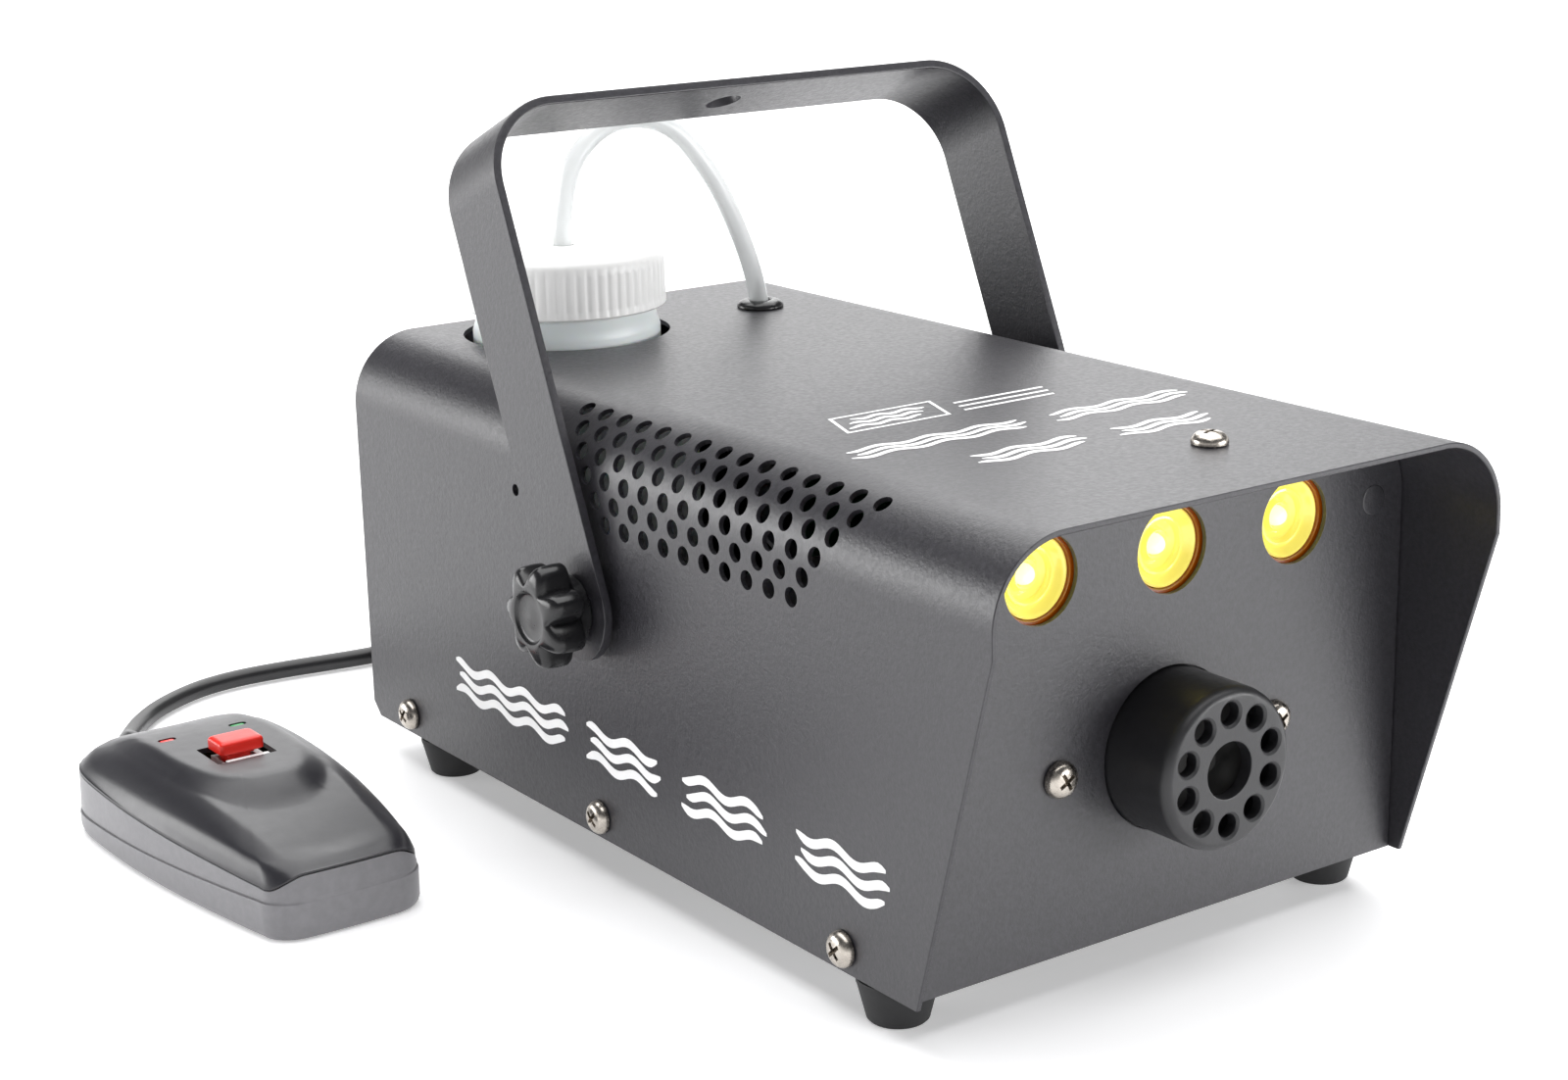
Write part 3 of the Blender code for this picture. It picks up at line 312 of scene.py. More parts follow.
def tube(name, pts, r, n, m=None, caps=True):
    P = [Vector(p) for p in pts]
    rad = r if callable(r) else (lambda k: r)
    T = [(P[min(len(P) - 1, i + 1)] - P[max(0, i - 1)]).normalized() for i in range(len(P))]
    up = Vector((0, 0, 1)) if abs(T[0].z) < 0.9 else Vector((1, 0, 0))
    u = T[0].cross(up).normalized()
    rows = []
    for i in range(len(P)):
        u = (u - T[i] * u.dot(T[i])).normalized()
        v = T[i].cross(u)
        rows.append([tuple(P[i] + (u * cos(2 * pi * k / n) + v * sin(2 * pi * k / n)) * rad(i)) for k in range(n)])
    return rings(name, rows, m, caps)

def join(objs, name):
    bm = bmesh.new()
    for o in objs:
        bm.from_mesh(o.data)
    me = bpy.data.meshes.new(name)
    bm.to_mesh(me)
    bm.free()
    for o in objs:
        bpy.data.objects.remove(o, do_unlink=True)
    o = bpy.data.objects.new(name, me)
    scene.collection.objects.link(o)
    return o

def boolean(o, cutter, op='DIFFERENCE'):
    if isinstance(cutter, (list, tuple)):
        cutter = join(list(cutter), o.name + "_cut") if len(cutter) > 1 else cutter[0]
    md = o.modifiers.new("b", 'BOOLEAN')
    md.operation = op
    md.solver = 'EXACT'
    md.object = cutter
    bake(o)
    bpy.data.objects.remove(cutter, do_unlink=True)
    return o

def bake(o):
    dg = bpy.context.evaluated_depsgraph_get()
    dg.update()
    me = bpy.data.meshes.new_from_object(o.evaluated_get(dg), depsgraph=dg)
    mats = [x for x in o.data.materials]
    o.modifiers.clear()
    o.data = me
    me.materials.clear()
    for x in mats:
        me.materials.append(x)
    for p in me.polygons:
        p.material_index = min(p.material_index, max(0, len(mats) - 1))
    return o

def bevel(o, width, seg=2, angle=30):
    md = o.modifiers.new("bv", 'BEVEL')
    md.width = width * MM
    md.segments = seg
    md.limit_method = 'ANGLE'
    md.angle_limit = radians(angle)
    md.use_clamp_overlap = True
    md.harden_normals = False
    return bake(o)

def subdiv(o, levels=1):
    md = o.modifiers.new("ss", 'SUBSURF')
    md.levels = levels
    md.render_levels = levels
    return bake(o)

def smooth(o, angle=35, weighted=True):
    lim = radians(angle)
    bm = bmesh.new()
    bm.from_mesh(o.data)
    for f in bm.faces:
        f.smooth = True
    for e in bm.edges:
        e.smooth = len(e.link_faces) == 2 and e.calc_face_angle(0.0) < lim
    bm.to_mesh(o.data)
    bm.free()
    if weighted:
        md = o.modifiers.new("wn", 'WEIGHTED_NORMAL')
        md.keep_sharp = True
        md.weight = 80
    return o

def put(o, body, nodes=(), sm=35, weighted=True):
    if sm:
        smooth(o, sm, weighted)
    if nodes:
        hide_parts(*nodes)
    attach(o, body)
    return o

def turn(o, p, rot):
    # rotate a piece about a drawing point
    c = Matrix.Translation(Wp(p))
    o.data.transform(c @ rot @ c.inverted())
    return o

def rod(p, d, r, length, n, ph=0.0):
    d = Vector(d).normalized()
    up = Vector((0, 1, 0)) if abs(d.y) < 0.9 else Vector((1, 0, 0))
    u = d.cross(up).normalized()
    v = d.cross(u)
    P = Vector(p)
    rows = [[tuple(P + d * s + (u * cos(2 * pi * k / n + ph) + v * sin(2 * pi * k / n + ph)) * r) for k in range(n)]
            for s in (-length / 2, length / 2)]
    return rings("rod", rows)

def ycyl(r, x, z, y0, y1, n):
    return lathe("c", [(0, y0), (r, y0), (r, y1), (0, y1)], 'Y', (x, 0, z), n)

def zcyl(r, x, y, z0, z1, n):
    return lathe("c", [(0, z0), (r, z0), (r, z1), (0, z1)], 'Z', (x, y, 0), n)

# ---- handset cable: from the socket's plug through the coil to the handset -----------------
CR = 2.5
# the coil: three layers, wound from the inside out, back in, and out again to the handset side
A0, TURNS = radians(84.0), 7.0 + (100.0 - 84.0) / 360.0
R_IN, R_OUT, DROP = 21.2, 33.3, 0.16
LAY = (TURNS - 2 * DROP) / 3.0

def ease(g):
    return g * g * (3 - 2 * g)

def coil_at(u):
    # u: turns run since the top layer began
    if u < LAY:
        r, z = R_IN + (R_OUT - R_IN) * u / LAY, 13.35
    elif u < LAY + DROP:
        r, z = R_OUT, 13.35 - 5.3 * ease((u - LAY) / DROP)
    elif u < 2 * LAY + DROP:
        r, z = R_OUT - (R_OUT - R_IN) * (u - LAY - DROP) / LAY, 8.05
    elif u < 2 * LAY + 2 * DROP:
        r, z = R_IN, 8.05 - 5.35 * ease((u - 2 * LAY - DROP) / DROP)
    else:
        r, z = R_IN + (R_OUT - R_IN) * (u - 2 * LAY - 2 * DROP) / LAY, 2.7
    a = A0 + 2 * pi * u
    return (COIL_X + r * cos(a), COIL_Y + r * sin(a), z)

def at_angle(r, deg, z):
    return (COIL_X + r * cos(radians(deg)), COIL_Y + r * sin(radians(deg)), z)

def lead_in():
    # level out of the plug, then one long even descent on to the inner lane
    pts = [(PORT_X1, YR + 21.5, PORT_ZL), (PORT_X1, YR + 23.2, PORT_ZL)]
    y0, phi1 = YR + 23.2, 84.0
    flat = COIL_Y - y0
    full = flat + R_IN * radians(phi1)
    for k in range(1, 15):
        d = full * k / 15
        z = 13.35 + (PORT_ZL - 13.35) * (0.5 + 0.5 * cos(pi * k / 15))
        if d < flat:
            g = d / flat
            pts.append((PORT_X1 + (COIL_X + R_IN - PORT_X1) * g * g * (3 - 2 * g), y0 + d, z))
        else:
            pts.append(at_angle(R_IN, degrees((d - flat) / R_IN), z))
    return pts
LEAD_IN = lead_in()
LEAD_OUT = [(-20.4, 306.6, 2.7), (-28.3, 304.0, 2.7), (-36.5, 301.9, 2.7), (-44.0, 302.4, 2.7), (-52.0, 303.6, 2.7), (-65.2, 305.7, 2.7), (-80.0, 306.6, 2.7),
            (-93.4, 304.0, 2.7), (-107.2, 296.4, 2.7), (-117.1, 287.3, 2.7), (REM_X + 5.0, 272.0, 4.6), (REM_X + 1.2, 262.0, 7.9), (REM_X, 256.0, 9.4), (REM_X, 251.0, 9.5)]
n_coil = 26 * 7 + 4
route = LEAD_IN + [coil_at(TURNS * i / n_coil) for i in range(n_coil + 1)] + LEAD_OUT
route = [tuple(p) for p in smooth_path(route, 2.4)]
cable = tube("handset_cable", route, lambda k: CR, 16, CABLE)
smooth(cable, 60, False)
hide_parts("remote_cable_run_a", "remote_cable_run_b", "remote_cable_coil")
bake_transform(cable)

# moulded plug with a ribbed grip and a stepped tail
plug = lathe("handset_plug", [(0, YR - 8.0), (4.3, YR - 8.0), (4.8, YR - 7.5), (4.8, YR + 1.6), (6.8, YR + 1.6), (7.2, YR + 2.0), (7.2, YR + 3.6), (6.7, YR + 3.9), (6.7, YR + 4.7),
                              (7.2, YR + 5.0), (7.2, YR + 6.0), (6.7, YR + 6.3), (6.7, YR + 7.1), (7.2, YR + 7.4), (7.2, YR + 8.4), (6.7, YR + 8.7), (6.7, YR + 9.5), (7.2, YR + 9.8),
                              (7.2, YR + 13.0), (6.7, YR + 14.2), (5.6, YR + 15.4), (4.9, YR + 16.2), (4.9, YR + 17.3), (4.1, YR + 17.5), (4.1, YR + 18.3), (4.6, YR + 18.5), (4.6, YR + 19.5),
                              (3.8, YR + 19.7), (3.8, YR + 20.5), (4.2, YR + 20.7), (4.2, YR + 21.7), (3.5, YR + 21.9), (3.5, YR + 22.7), (3.8, YR + 22.9), (3.7, YR + 24.0), (0, YR + 24.0)],
             'Y', (PORT_X1, 0, PORT_ZL), 44, SATINBLK)
put(plug, "housing", ["remote_plug"], 42)

# a hook-and-loop tie round the three layers
TIE_A = radians(222.0)
sec_o = rrect(9.35, 8.5, 3.2, 6, 27.25, 8.05)
sec_i = rrect(8.65, 7.9, 2.6, 6, 27.25, 8.05)
def tie_pt(r, z, w):
    return (COIL_X + r * cos(TIE_A) - w * sin(TIE_A), COIL_Y + r * sin(TIE_A) + w * cos(TIE_A), max(0.04, z))
tie_rows = []
for (ro, zo), (ri, zi) in zip(sec_o, sec_i):
    if zo < 0.5:
        zi = max(zi, 0.3)
    tie_rows.append([tie_pt(ro, zo, -4.6), tie_pt(ro, zo, -5.0), tie_pt(ri, zi, -5.0), tie_pt(ri, zi, 5.0), tie_pt(ro, zo, 5.0), tie_pt(ro, zo, 4.6)])
tie = rings("coil_tie", tie_rows, STRAP, caps=False, closed=True)
flap = []
for k, t in enumerate((0.0, 0.35, 0.7, 1.0)):
    r0, z0 = 27.25 + 8.0 - 13.0 * t, 8.05 + 8.55
    flap.append([tie_pt(r0, z0, -4.8), tie_pt(r0, z0 + 0.75 + 0.25 * t, -4.6), tie_pt(r0, z0 + 0.75 + 0.25 * t, 4.6), tie_pt(r0, z0, 4.8)])
tie2 = rings("coil_tie_flap", flap, STRAP)
put(tie, "housing", (), 40)
put(tie2, "housing", (), 40)

# ---- cover: bent sheet with softened cut edges --------------------------------------------------
def front_y(z):
    return -HOOD if z >= HOOD_Z - 1e-6 else -HOOD + (HOOD_Z - z) * (HOOD - HOOD_LOW) / (HOOD_Z - Z0)

def rear_y(z):
    return LEN - max(0.0, REAR_CH - (z - Z0))

def arch(hw, top, r, n, zs):
    half = [(-hw, z) for z in zs] + [(-hw + r - r * cos(pi / 2 * i / n), top - r + r * sin(pi / 2 * i / n)) for i in range(n + 1)]
    return half + [(-x, z) for (x, z) in reversed(half)]

def u_sheet(name, outer, inner, y0f, y1f, m, ch=0.2):
    rows = []
    for (xo, zo), (xi, zi) in zip(outer, inner):
        l = hypot(xi - xo, zi - zo)
        ex, ez = (xi - xo) / l * ch, (zi - zo) / l * ch
        f, b = y0f(zo), y1f(zo)
        rows.append([(xo, f + ch, zo), (xo + ex, f, zo + ez), (xi - ex, f, zi - ez), (xi, f + ch, zi), (xi, b - ch, zi), (xi - ex, b, zi - ez), (xo + ex, b, zo + ez), (xo, b - ch, zo)])
    return rings(name, rows, m, caps=True)

def sheet_normals(o, hw, top, r):
    # exact normals for the bent sheet, inside and out, so the bends shade as true arcs
    me = o.data
    out = []
    for p in me.polygons:
        n = p.normal
        for li in p.loop_indices:
            v = me.vertices[me.loops[li].vertex_index].co
            x, z = v.x * 1000 - SHIFT_X, v.z * 1000
            cx, cz = hw - r, top - r
            if abs(x) > cx and z > cz:
                g = Vector((x - cx if x > 0 else x + cx, 0, z - cz)).normalized()
            elif abs(x) > cx:
                g = Vector((1 if x > 0 else -1, 0, 0))
            else:
                g = Vector((0, 0, 1))
            d = n.dot(g)
            out.append(tuple(g if d > 0.93 else (-g if d < -0.93 else n)))
    for p in me.polygons:
        p.use_smooth = True
    me.normals_split_custom_set(out)

NARC = 20
cover = u_sheet("cover_skin", arch(W / 2, ZT, RC, NARC, [Z0, Z0 + REAR_CH, HOOD_Z]), arch(W / 2 - SHEET, ZT - SHEET, RC - SHEET, NARC, [Z0, Z0 + REAR_CH, HOOD_Z]), front_y, rear_y, COAT)
cuts = []
for side in (-1, 1):
    for row in range(6):
        s = VENT_ROW * row
        flat = ZT - RC - VENT_Z1
        if s <= flat:
            px, pz, d = side * W / 2, VENT_Z1 + s, (side, 0, 0)
        else:
            a = (s - flat) / RC
            px, pz, d = side * (W / 2 - RC + RC * cos(a)), ZT - RC + RC * sin(a), (side * cos(a), 0, sin(a))
        for k in range(10 + row):
            cuts.append(rod((px, VENT_C + (k - (9 + row) / 2) * VENT_P, pz), d, VENT_D / 2, 5.0, 16, 0.05))
    for y in SCREW_Y:
        cuts.append(rod((side * W / 2, y, SCREW_Z), (1, 0, 0), 2.1, 5.0, 16))
    cuts.append(rod((side * W / 2, PIV_Y, PIV_Z), (1, 0, 0), 3.2, 5.0, 24))
cuts.append(rod((-W / 2, 151.6, Z0 + 78.6), (1, 0, 0), 1.5, 5.0, 16))
cuts.append(zcyl(27.0, TANK_X, TANK_Y, ZT - 4, ZT + 4, 96))
cuts.append(zcyl(4.3, HOSE_X, HOSE_Y, ZT - 4, ZT + 4, 32))
cuts.append(zcyl(2.1, 15.0, 5.0, ZT - 4, ZT + 4, 16))
boolean(cover, cuts)
sheet_normals(cover, W / 2, ZT, RC)
put(cover, "housing", ["cover"], 0)

# ---- end panels ------------------------------------------------------------------------------
BX = W / 2 - SHEET - GAP
def panel_outline(z_low):
    return arch(BX, ZT - SHEET - GAP, RC - SHEET - GAP, 16, [z_low])
front = prism("front_panel_skin", panel_outline(Z0), 'Y', 0.0, SHEET, PANEL)
boolean(front, box("f", -48, 48, SHEET / 2, 14.0, ZT - SHEET - GAP - 1.2, ZT - SHEET - GAP), 'UNION')
cuts = [ycyl(LED_R, sx * LED_X, LED_Z, -4, 4, 64) for sx in (-1, 0, 1)]
cuts.append(ycyl(NOZ_R + 0.4, 0, NOZ_Z, -4, 4, 64))
cuts += [ycyl(2.1, sx * 31.0, NOZ_Z, -4, 4, 16) for sx in (-1, 1)]
cuts.append(zcyl(2.1, 15.0, 5.0, ZT - 6, ZT + 2, 16))
boolean(front, cuts)
bevel(front, 0.15, 2, 40)
put(front, "housing", ["front_panel"], 30)
dimple = lathe("panel_plug", [(0, -0.28), (3.0, -0.28), (3.4, -0.1), (3.4, 0.02), (0, 0.02)], 'Y', (60.5, 0, LED_Z + 0.5), 32, PANEL)
put(dimple, "housing", (), 40)

rear = prism("rear_panel_skin", panel_outline(Z0 + REAR_CH + 0.2), 'Y', LEN - SHEET, LEN, PANEL)
cuts = [ycyl(7.3, PORT_X1, PORT_ZL, LEN - 5, LEN + 5, 40), ycyl(6.3, PORT_X1, PORT_ZH, LEN - 5, LEN + 5, 40),
        prism("c", rrect(13.8, 10.3, 2.0, 4, PORT_X2, PORT_ZL), 'Y', LEN - 5, LEN + 5),
        prism("c", rrect(6.8, 9.8, 0.5, 2, PORT_X2, PORT_ZH), 'Y', LEN - 5, LEN + 5)]
boolean(rear, cuts)
bevel(rear, 0.15, 2, 40)
put(rear, "housing", ["rear_panel"], 30)

# ---- print: plain slanted bars and waves in place of lettering ------------------------------------
def marks(name, polys, place, m=INK, th=0.05):
    vs, fs = [], []
    for pl in polys:
        b = len(vs)
        n = len(pl)
        vs += [place(u, v, 0.0) for (u, v) in pl] + [place(u, v, th) for (u, v) in pl]
        fs += [tuple(range(b, b + n)), tuple(range(b + 2 * n - 1, b + n - 1, -1))]
        fs += [(b + i, b + (i + 1) % n, b + n + (i + 1) % n, b + n + i) for i in range(n)]
    return obj_from(name, vs, fs, m)

def bar(u, v0, v1, w, slant, cut=0.7):
    k = slant * (v1 - v0)
    return [(u, v0), (u + w - cut, v0), (u + w, v0 + cut), (u + w + k, v1), (u + cut + k, v1), (u + k, v1 - cut)]

def side_place(u, v, h):
    return (-W / 2 - 0.02 - h, 187.0 - u, 26.5 + v)

def top_place(u, v, h):
    return (u, v, ZT + 0.02 + h)

def mist(u0, u1, v, amp, wl, ph, w, slant=0.0, n=None, taper=3.0):
    # one wavy ribbon with tapered ends, as a closed outline
    n = n or max(10, int((u1 - u0) / 1.2))
    up, dn = [], []
    for i in range(n + 1):
        u = u0 + (u1 - u0) * i / n
        c = v + amp * sin(2 * pi * u / wl + ph)
        e = min(1.0, (i / n) * (u1 - u0) / taper + 0.12, (1 - i / n) * (u1 - u0) / taper + 0.12)
        h = w / 2 * sqrt(e)
        up.append((u + slant * (c + h), c + h))
        dn.append((u + slant * (c - h), c - h))
    return dn + up[::-1]

def mist_block(u0, u1, v0, v1, wl, ph, slant=0.0, rows=3, fill=0.62):
    amp = (v1 - v0) * 0.085
    pitch = (v1 - v0 - 2 * amp) / rows
    out = []
    for k in range(rows):
        ins = (0.0, 2.2, 0.6)[k % 3]
        out.append(mist(u0 + ins, u1 - (2.2 - ins) * 0.8, v0 + amp + pitch * (k + 0.5), amp, wl, ph + 0.5 * k, pitch * fill, slant))
    return out
polys = []
for (u0, u1, ph) in ((0.0, 55.5, 0.0), (63.5, 96.0, 0.6), (104.5, 138.0, 1.1), (148.5, 181.5, 1.7)):
    polys += mist_block(u0, u1, 0.0, 12.8, 16.5, ph)
ink_side = marks("side_print_bars", polys, side_place)
put(ink_side, "housing", (), 20, False)
polys = []
for (u0, u1, v0, v1, ph) in ((-64.0, -15.0, 41.0, 51.0, 0.0), (-8.0, 33.0, 40.5, 50.5, 0.8), (-40.0, -9.0, 20.5, 31.0, 0.4), (-1.0, 27.0, 20.0, 30.5, 1.4)):
    polys += mist_block(u0, u1, v0, v1, 14.0, ph, 0.30)
# small outlined lozenge with two bars in it, and a pair of thin lines beside it
def frame_polys(u0, u1, v0, v1, w, sl):
    k = sl * (v1 - v0)
    return [[(u0, v0), (u1, v0), (u1 + sl * w, v0 + w), (u0 + sl * w, v0 + w)], [(u0 + k - sl * w, v1 - w), (u1 + k - sl * w, v1 - w), (u1 + k, v1), (u0 + k, v1)],
            [(u0 + sl * w, v0 + w + 0.01), (u0 + w + sl * w, v0 + w + 0.01), (u0 + w + k - sl * w, v1 - w - 0.01), (u0 + k - sl * w, v1 - w - 0.01)],
            [(u1 - w + sl * w, v0 + w + 0.01), (u1 + sl * w, v0 + w + 0.01), (u1 + k - sl * w, v1 - w - 0.01), (u1 - w + k - sl * w, v1 - w - 0.01)]]
polys += frame_polys(-38.0, -9.0, 62.5, 76.5, 0.9, 0.35)
for k in range(3):
    polys.append(mist(-58.0 + 1.5 * k, -37.5 + 1.5 * k, 66.4 + 3.1 * k, 0.6, 8.0, 0.6 * k, 1.7, 0.35))
for v in (63.5, 67.0, 70.5):
    polys.append([(-4.5 + 0.35 * (v - 62.5), v), (22.0 + 0.35 * (v - 62.5), v), (22.4 + 0.35 * (v - 62.5), v + 1.1), (-4.1 + 0.35 * (v - 62.5), v + 1.1)])
ink_top = marks("top_print_bars", polys, top_place)
put(ink_top, "housing", (), 20, False)

# ---- yoke ----------------------------------------------------------------------------------------
def yoke_rows():
    rows = []
    O, I, D, r, c = YOKE_OUT, YOKE_OUT - YOKE_T, YOKE_D, YOKE_R, 0.35
    def sect(xo, zo, xi, zi, hw):
        l = hypot(xi - xo, zi - zo)
        ex, ez = (xi - xo) / l * c, (zi - zo) / l * c
        q = max(0.02, hw - c)
        rows.append([(xo, -q, zo), (xo, q, zo), (xo + ex * 0.3, max(0.03, hw - 0.3 * c), zo + ez * 0.3), (xo + ex, max(0.04, hw), zo + ez), (xi - ex, max(0.04, hw), zi - ez), (xi - ex * 0.3, max(0.03, hw - 0.3 * c), zi - ez * 0.3),
                     (xi, q, zi), (xi, -q, zi), (xi - ex * 0.3, -max(0.03, hw - 0.3 * c), zi - ez * 0.3), (xi - ex, -max(0.04, hw), zi - ez), (xo + ex, -max(0.04, hw), zo + ez), (xo + ex * 0.3, -max(0.03, hw - 0.3 * c), zo + ez * 0.3)])
    angs = (86, 80, 74, 68, 62, 56, 50, 44, 38, 32, 26, 20, 14, 7, 0)
    end = [(-YOKE_HW * sin(radians(a)), YOKE_HW * cos(radians(a))) for a in angs]
    for (z, hw) in end:
        sect(-O, z, -I, z, hw)
    nb = 22
    for i in range(nb + 1):
        a = pi / 2 * i / nb
        sect(-O + r - r * cos(a), D - r + r * sin(a), -O + r - (r - YOKE_T) * cos(a), D - r + (r - YOKE_T) * sin(a), YOKE_HW)
    for i in range(nb + 1):
        a = pi / 2 * (1 - i / nb)
        sect(O - r + r * cos(a), D - r + r * sin(a), O - r + (r - YOKE_T) * cos(a), D - r + (r - YOKE_T) * sin(a), YOKE_HW)
    for (z, hw) in reversed(end):
        sect(O, z, I, z, hw)
    return rows
yoke = rings("yoke_strap", yoke_rows(), YOKEM)
cuts = [rod((s * YOKE_OUT, 0, 0), (1, 0, 0), 3.2, 8.0, 32) for s in (-1, 1)]
cuts.append(zcyl(4.5, 0, 0, YOKE_D - 6, YOKE_D + 4, 40))
boolean(yoke, cuts)
yoke.data.transform(Matrix.Translation(-Wp((0, 0, 0))))
yoke.data.transform(Matrix.Translation(Wp((0, PIV_Y, PIV_Z))) @ Matrix.Rotation(-LEAN, 4, 'X'))
put(yoke, "yoke", ["yoke"], 25)

# ---- knobs: seven soft lobes, dished face, steel stud ---------------------------------------------
NK = 140
def knob(tag, side):
    b = YOKE_OUT + GAP
    def row(x, base, lobe, k=1.0):
        out = []
        for i in range(NK):
            t = 2 * pi * i / NK
            c = cos(7 * t)
            sh = (0.5 + 0.5 * c) ** 0.62 * 2 - 1
            r = (base + lobe * sh) * k
            out.append((side * x, PIV_Y + r * cos(t), PIV_Z + r * sin(t)))
        return out
    prof = [(b - 15.0, 2.2, 0, 1), (b - 14.4, 2.7, 0, 1), (b, 2.7, 0, 1), (b, 7.6, 0, 1), (b + 0.4, 8.0, 0, 1), (b + 2.6, 8.0, 0.1, 1), (b + 3.1, 8.4, 0.6, 1), (b + 3.4, 9.3, 1.4, 1),
            (b + 3.9, 10.2, 1.8, 1), (b + 4.6, 10.65, 1.85, 1), (b + 6.5, 10.75, 1.85, 1), (b + 9.2, 10.6, 1.85, 1), (b + 10.6, 10.3, 1.8, 1), (b + 11.5, 9.7, 1.6, 1), (b + 12.1, 8.8, 1.2, 1),
            (b + 12.45, 7.8, 0.6, 1), (b + 12.5, 7.0, 0.15, 1), (b + 12.4, 6.3, 0, 1), (b + 11.9, 5.9, 0, 1), (b + 11.5, 5.2, 0, 1), (b + 11.6, 2.5, 0, 1), (b + 11.75, 0.6, 0, 1)]
    o = rings("knob_%s_grip" % tag, [row(*p) for p in prof], GLOSSBLK)
    put(o, "knob_" + tag, ["knob_" + tag], 40)
knob("left", -1)
knob("right", 1)
for side, tag in ((-1, "left"), (1, "right")):
    xa, xb = side * (W / 2 + GAP), side * (YOKE_OUT - YOKE_T - GAP)
    o = lathe("spacer_washer_" + tag, [(3.1, xa), (6.8, xa), (7.0, xa + side * 0.2), (7.0, xb - side * 0.2), (6.8, xb), (3.1, xb)], 'X', (0, PIV_Y, PIV_Z), 48, SATINBLK, ring=True)
    put(o, "housing", ["pivot_washer_" + tag], 50)

# ---- nozzle --------------------------------------------------------------------------------------
R = NOZ_R
prof = [(20.9, 3.0), (20.9, 1.5), (R, 1.5), (R, -NOZ_L + 2.6), (R - 0.18, -NOZ_L + 1.7), (R - 0.65, -NOZ_L + 0.8), (R - 1.3, -NOZ_L + 0.25), (R - 2.0, -NOZ_L), (6.6, -NOZ_L), (6.35, -NOZ_L + 0.1),
        (6.25, -NOZ_L + 0.4), (6.25, -NOZ_L + 3.0), (15.8, -NOZ_L + 3.0), (15.8, 3.0)]
shroud = lathe("nozzle_shroud_body", prof, 'Y', (0, 0, NOZ_Z), 96, SHROUD, ring=True)
boolean(shroud, [lathe("h", [(0, -NOZ_L - 2), (3.2, -NOZ_L - 2), (3.2, -NOZ_L - 0.001), (2.75, -NOZ_L + 0.3), (2.6, -NOZ_L + 0.5), (2.6, -NOZ_L + 5), (0, -NOZ_L + 5)], 'Y',
                       (12.4 * cos(2 * pi * k / 10 + pi / 10), 0, NOZ_Z + 12.4 * sin(2 * pi * k / 10 + pi / 10)), 24) for k in range(10)])
put(shroud, "housing", ["nozzle_shroud"], 30)
# a near-black disc behind the face holes, no real part: painted shade so the holes read dark
baffle = lathe("nozzle_baffle", [(3.9, -9.5), (15.4, -9.5), (15.4, -8.9), (3.9, -8.9)], 'Y', (0, 0, NOZ_Z), 48, NOZZLE_SHADE_STEEL, ring=True)
put(baffle, "housing", (), 40)

# ---- LED windows: a cup with steps, a pale core, a darker orange rim, amber tint with painted shade of the lens edge ---
for s, tag in ((-1, "left"), (0, "middle"), (1, "right")):
    c = (s * LED_X, 0, LED_Z)
    rim = lathe("led_rim_" + tag, [(9.05, 1.9), (9.2, 1.55), (11.4, 1.5), (11.4, 2.9), (9.3, 6.6), (8.9, 6.2), (9.0, 3.2)], 'Y', c, 72, AMB_RIM_SHADE, ring=True)
    put(rim, "housing", ["led_lens_" + tag], 50)
    cup = lathe("led_cup_" + tag, [(0, 7.4), (2.5, 7.4), (2.6, 5.6), (2.9, 4.7), (3.3, 4.4), (3.6, 4.9), (3.9, 5.7), (5.2, 4.9), (5.4, 4.1), (5.8, 3.6), (6.3, 3.7), (6.5, 4.3), (7.6, 3.2), (7.8, 2.6), (8.4, 2.1), (8.8, 2.3), (8.85, 3.4), (8.5, 6.6), (5.0, 14.8), (0, 14.8)],
                'Y', c, 72, AMB_CUP)
    put(cup, "housing", (), 38)
    core = lathe("led_core_" + tag, [(0, 3.2), (0.8, 3.3), (1.5, 3.7), (2.0, 4.4), (2.3, 5.4), (2.3, 7.3), (0, 7.3)], 'Y', c, 40, AMB_CORE)
    put(core, "housing", (), 50)

# ---- tank, cap, hose --------------------------------------------------------------------------------
TX0, TX1, TY0, TY1, TZ0, TZ1 = -66.0, 1.0, 176.0, 231.5, 14.8, 104.0
hx, hy, tcx, tcy = (TX1 - TX0) / 2, (TY1 - TY0) / 2, (TX0 + TX1) / 2, (TY0 + TY1) / 2
rows = []
for (z, ins, r) in ((TZ0, 3.0, 5.0), (TZ0 + 0.9, 0.9, 6.6), (TZ0 + 3.0, 0.0, 7.0), (TZ1 - 3.0, 0.0, 7.0), (TZ1 - 0.9, 0.9, 6.6), (TZ1, 3.0, 5.0)):
    rows.append([(p[0], p[1], z) for p in rrect(hx - ins, hy - ins, r, 8, tcx, tcy)])
tank = rings("tank_shell", rows, PE)
neck = lathe("n", [(0, TZ1 - 6), (24.5, TZ1 - 6), (24.5, 114.6), (24.1, 116.0), (23.2, 119.2), (22.6, 119.8), (21.2, 119.8), (21.2, 128.3), (20.8, 128.7), (0, 128.7)], 'Z', (TANK_X, TANK_Y, 0), 72)
boolean(tank, neck, 'UNION')
inner = prism("i", rrect(hx - 1.8, hy - 1.8, 5.2, 8, tcx, tcy), 'Z', TZ0 + 1.8, TZ1 - 1.8)
boolean(inner, zcyl(19.2, TANK_X, TANK_Y, TZ1 - 8, 140.0, 72), 'UNION')
boolean(tank, inner)
put(tank, "housing", ["fluid_tank"], 32)

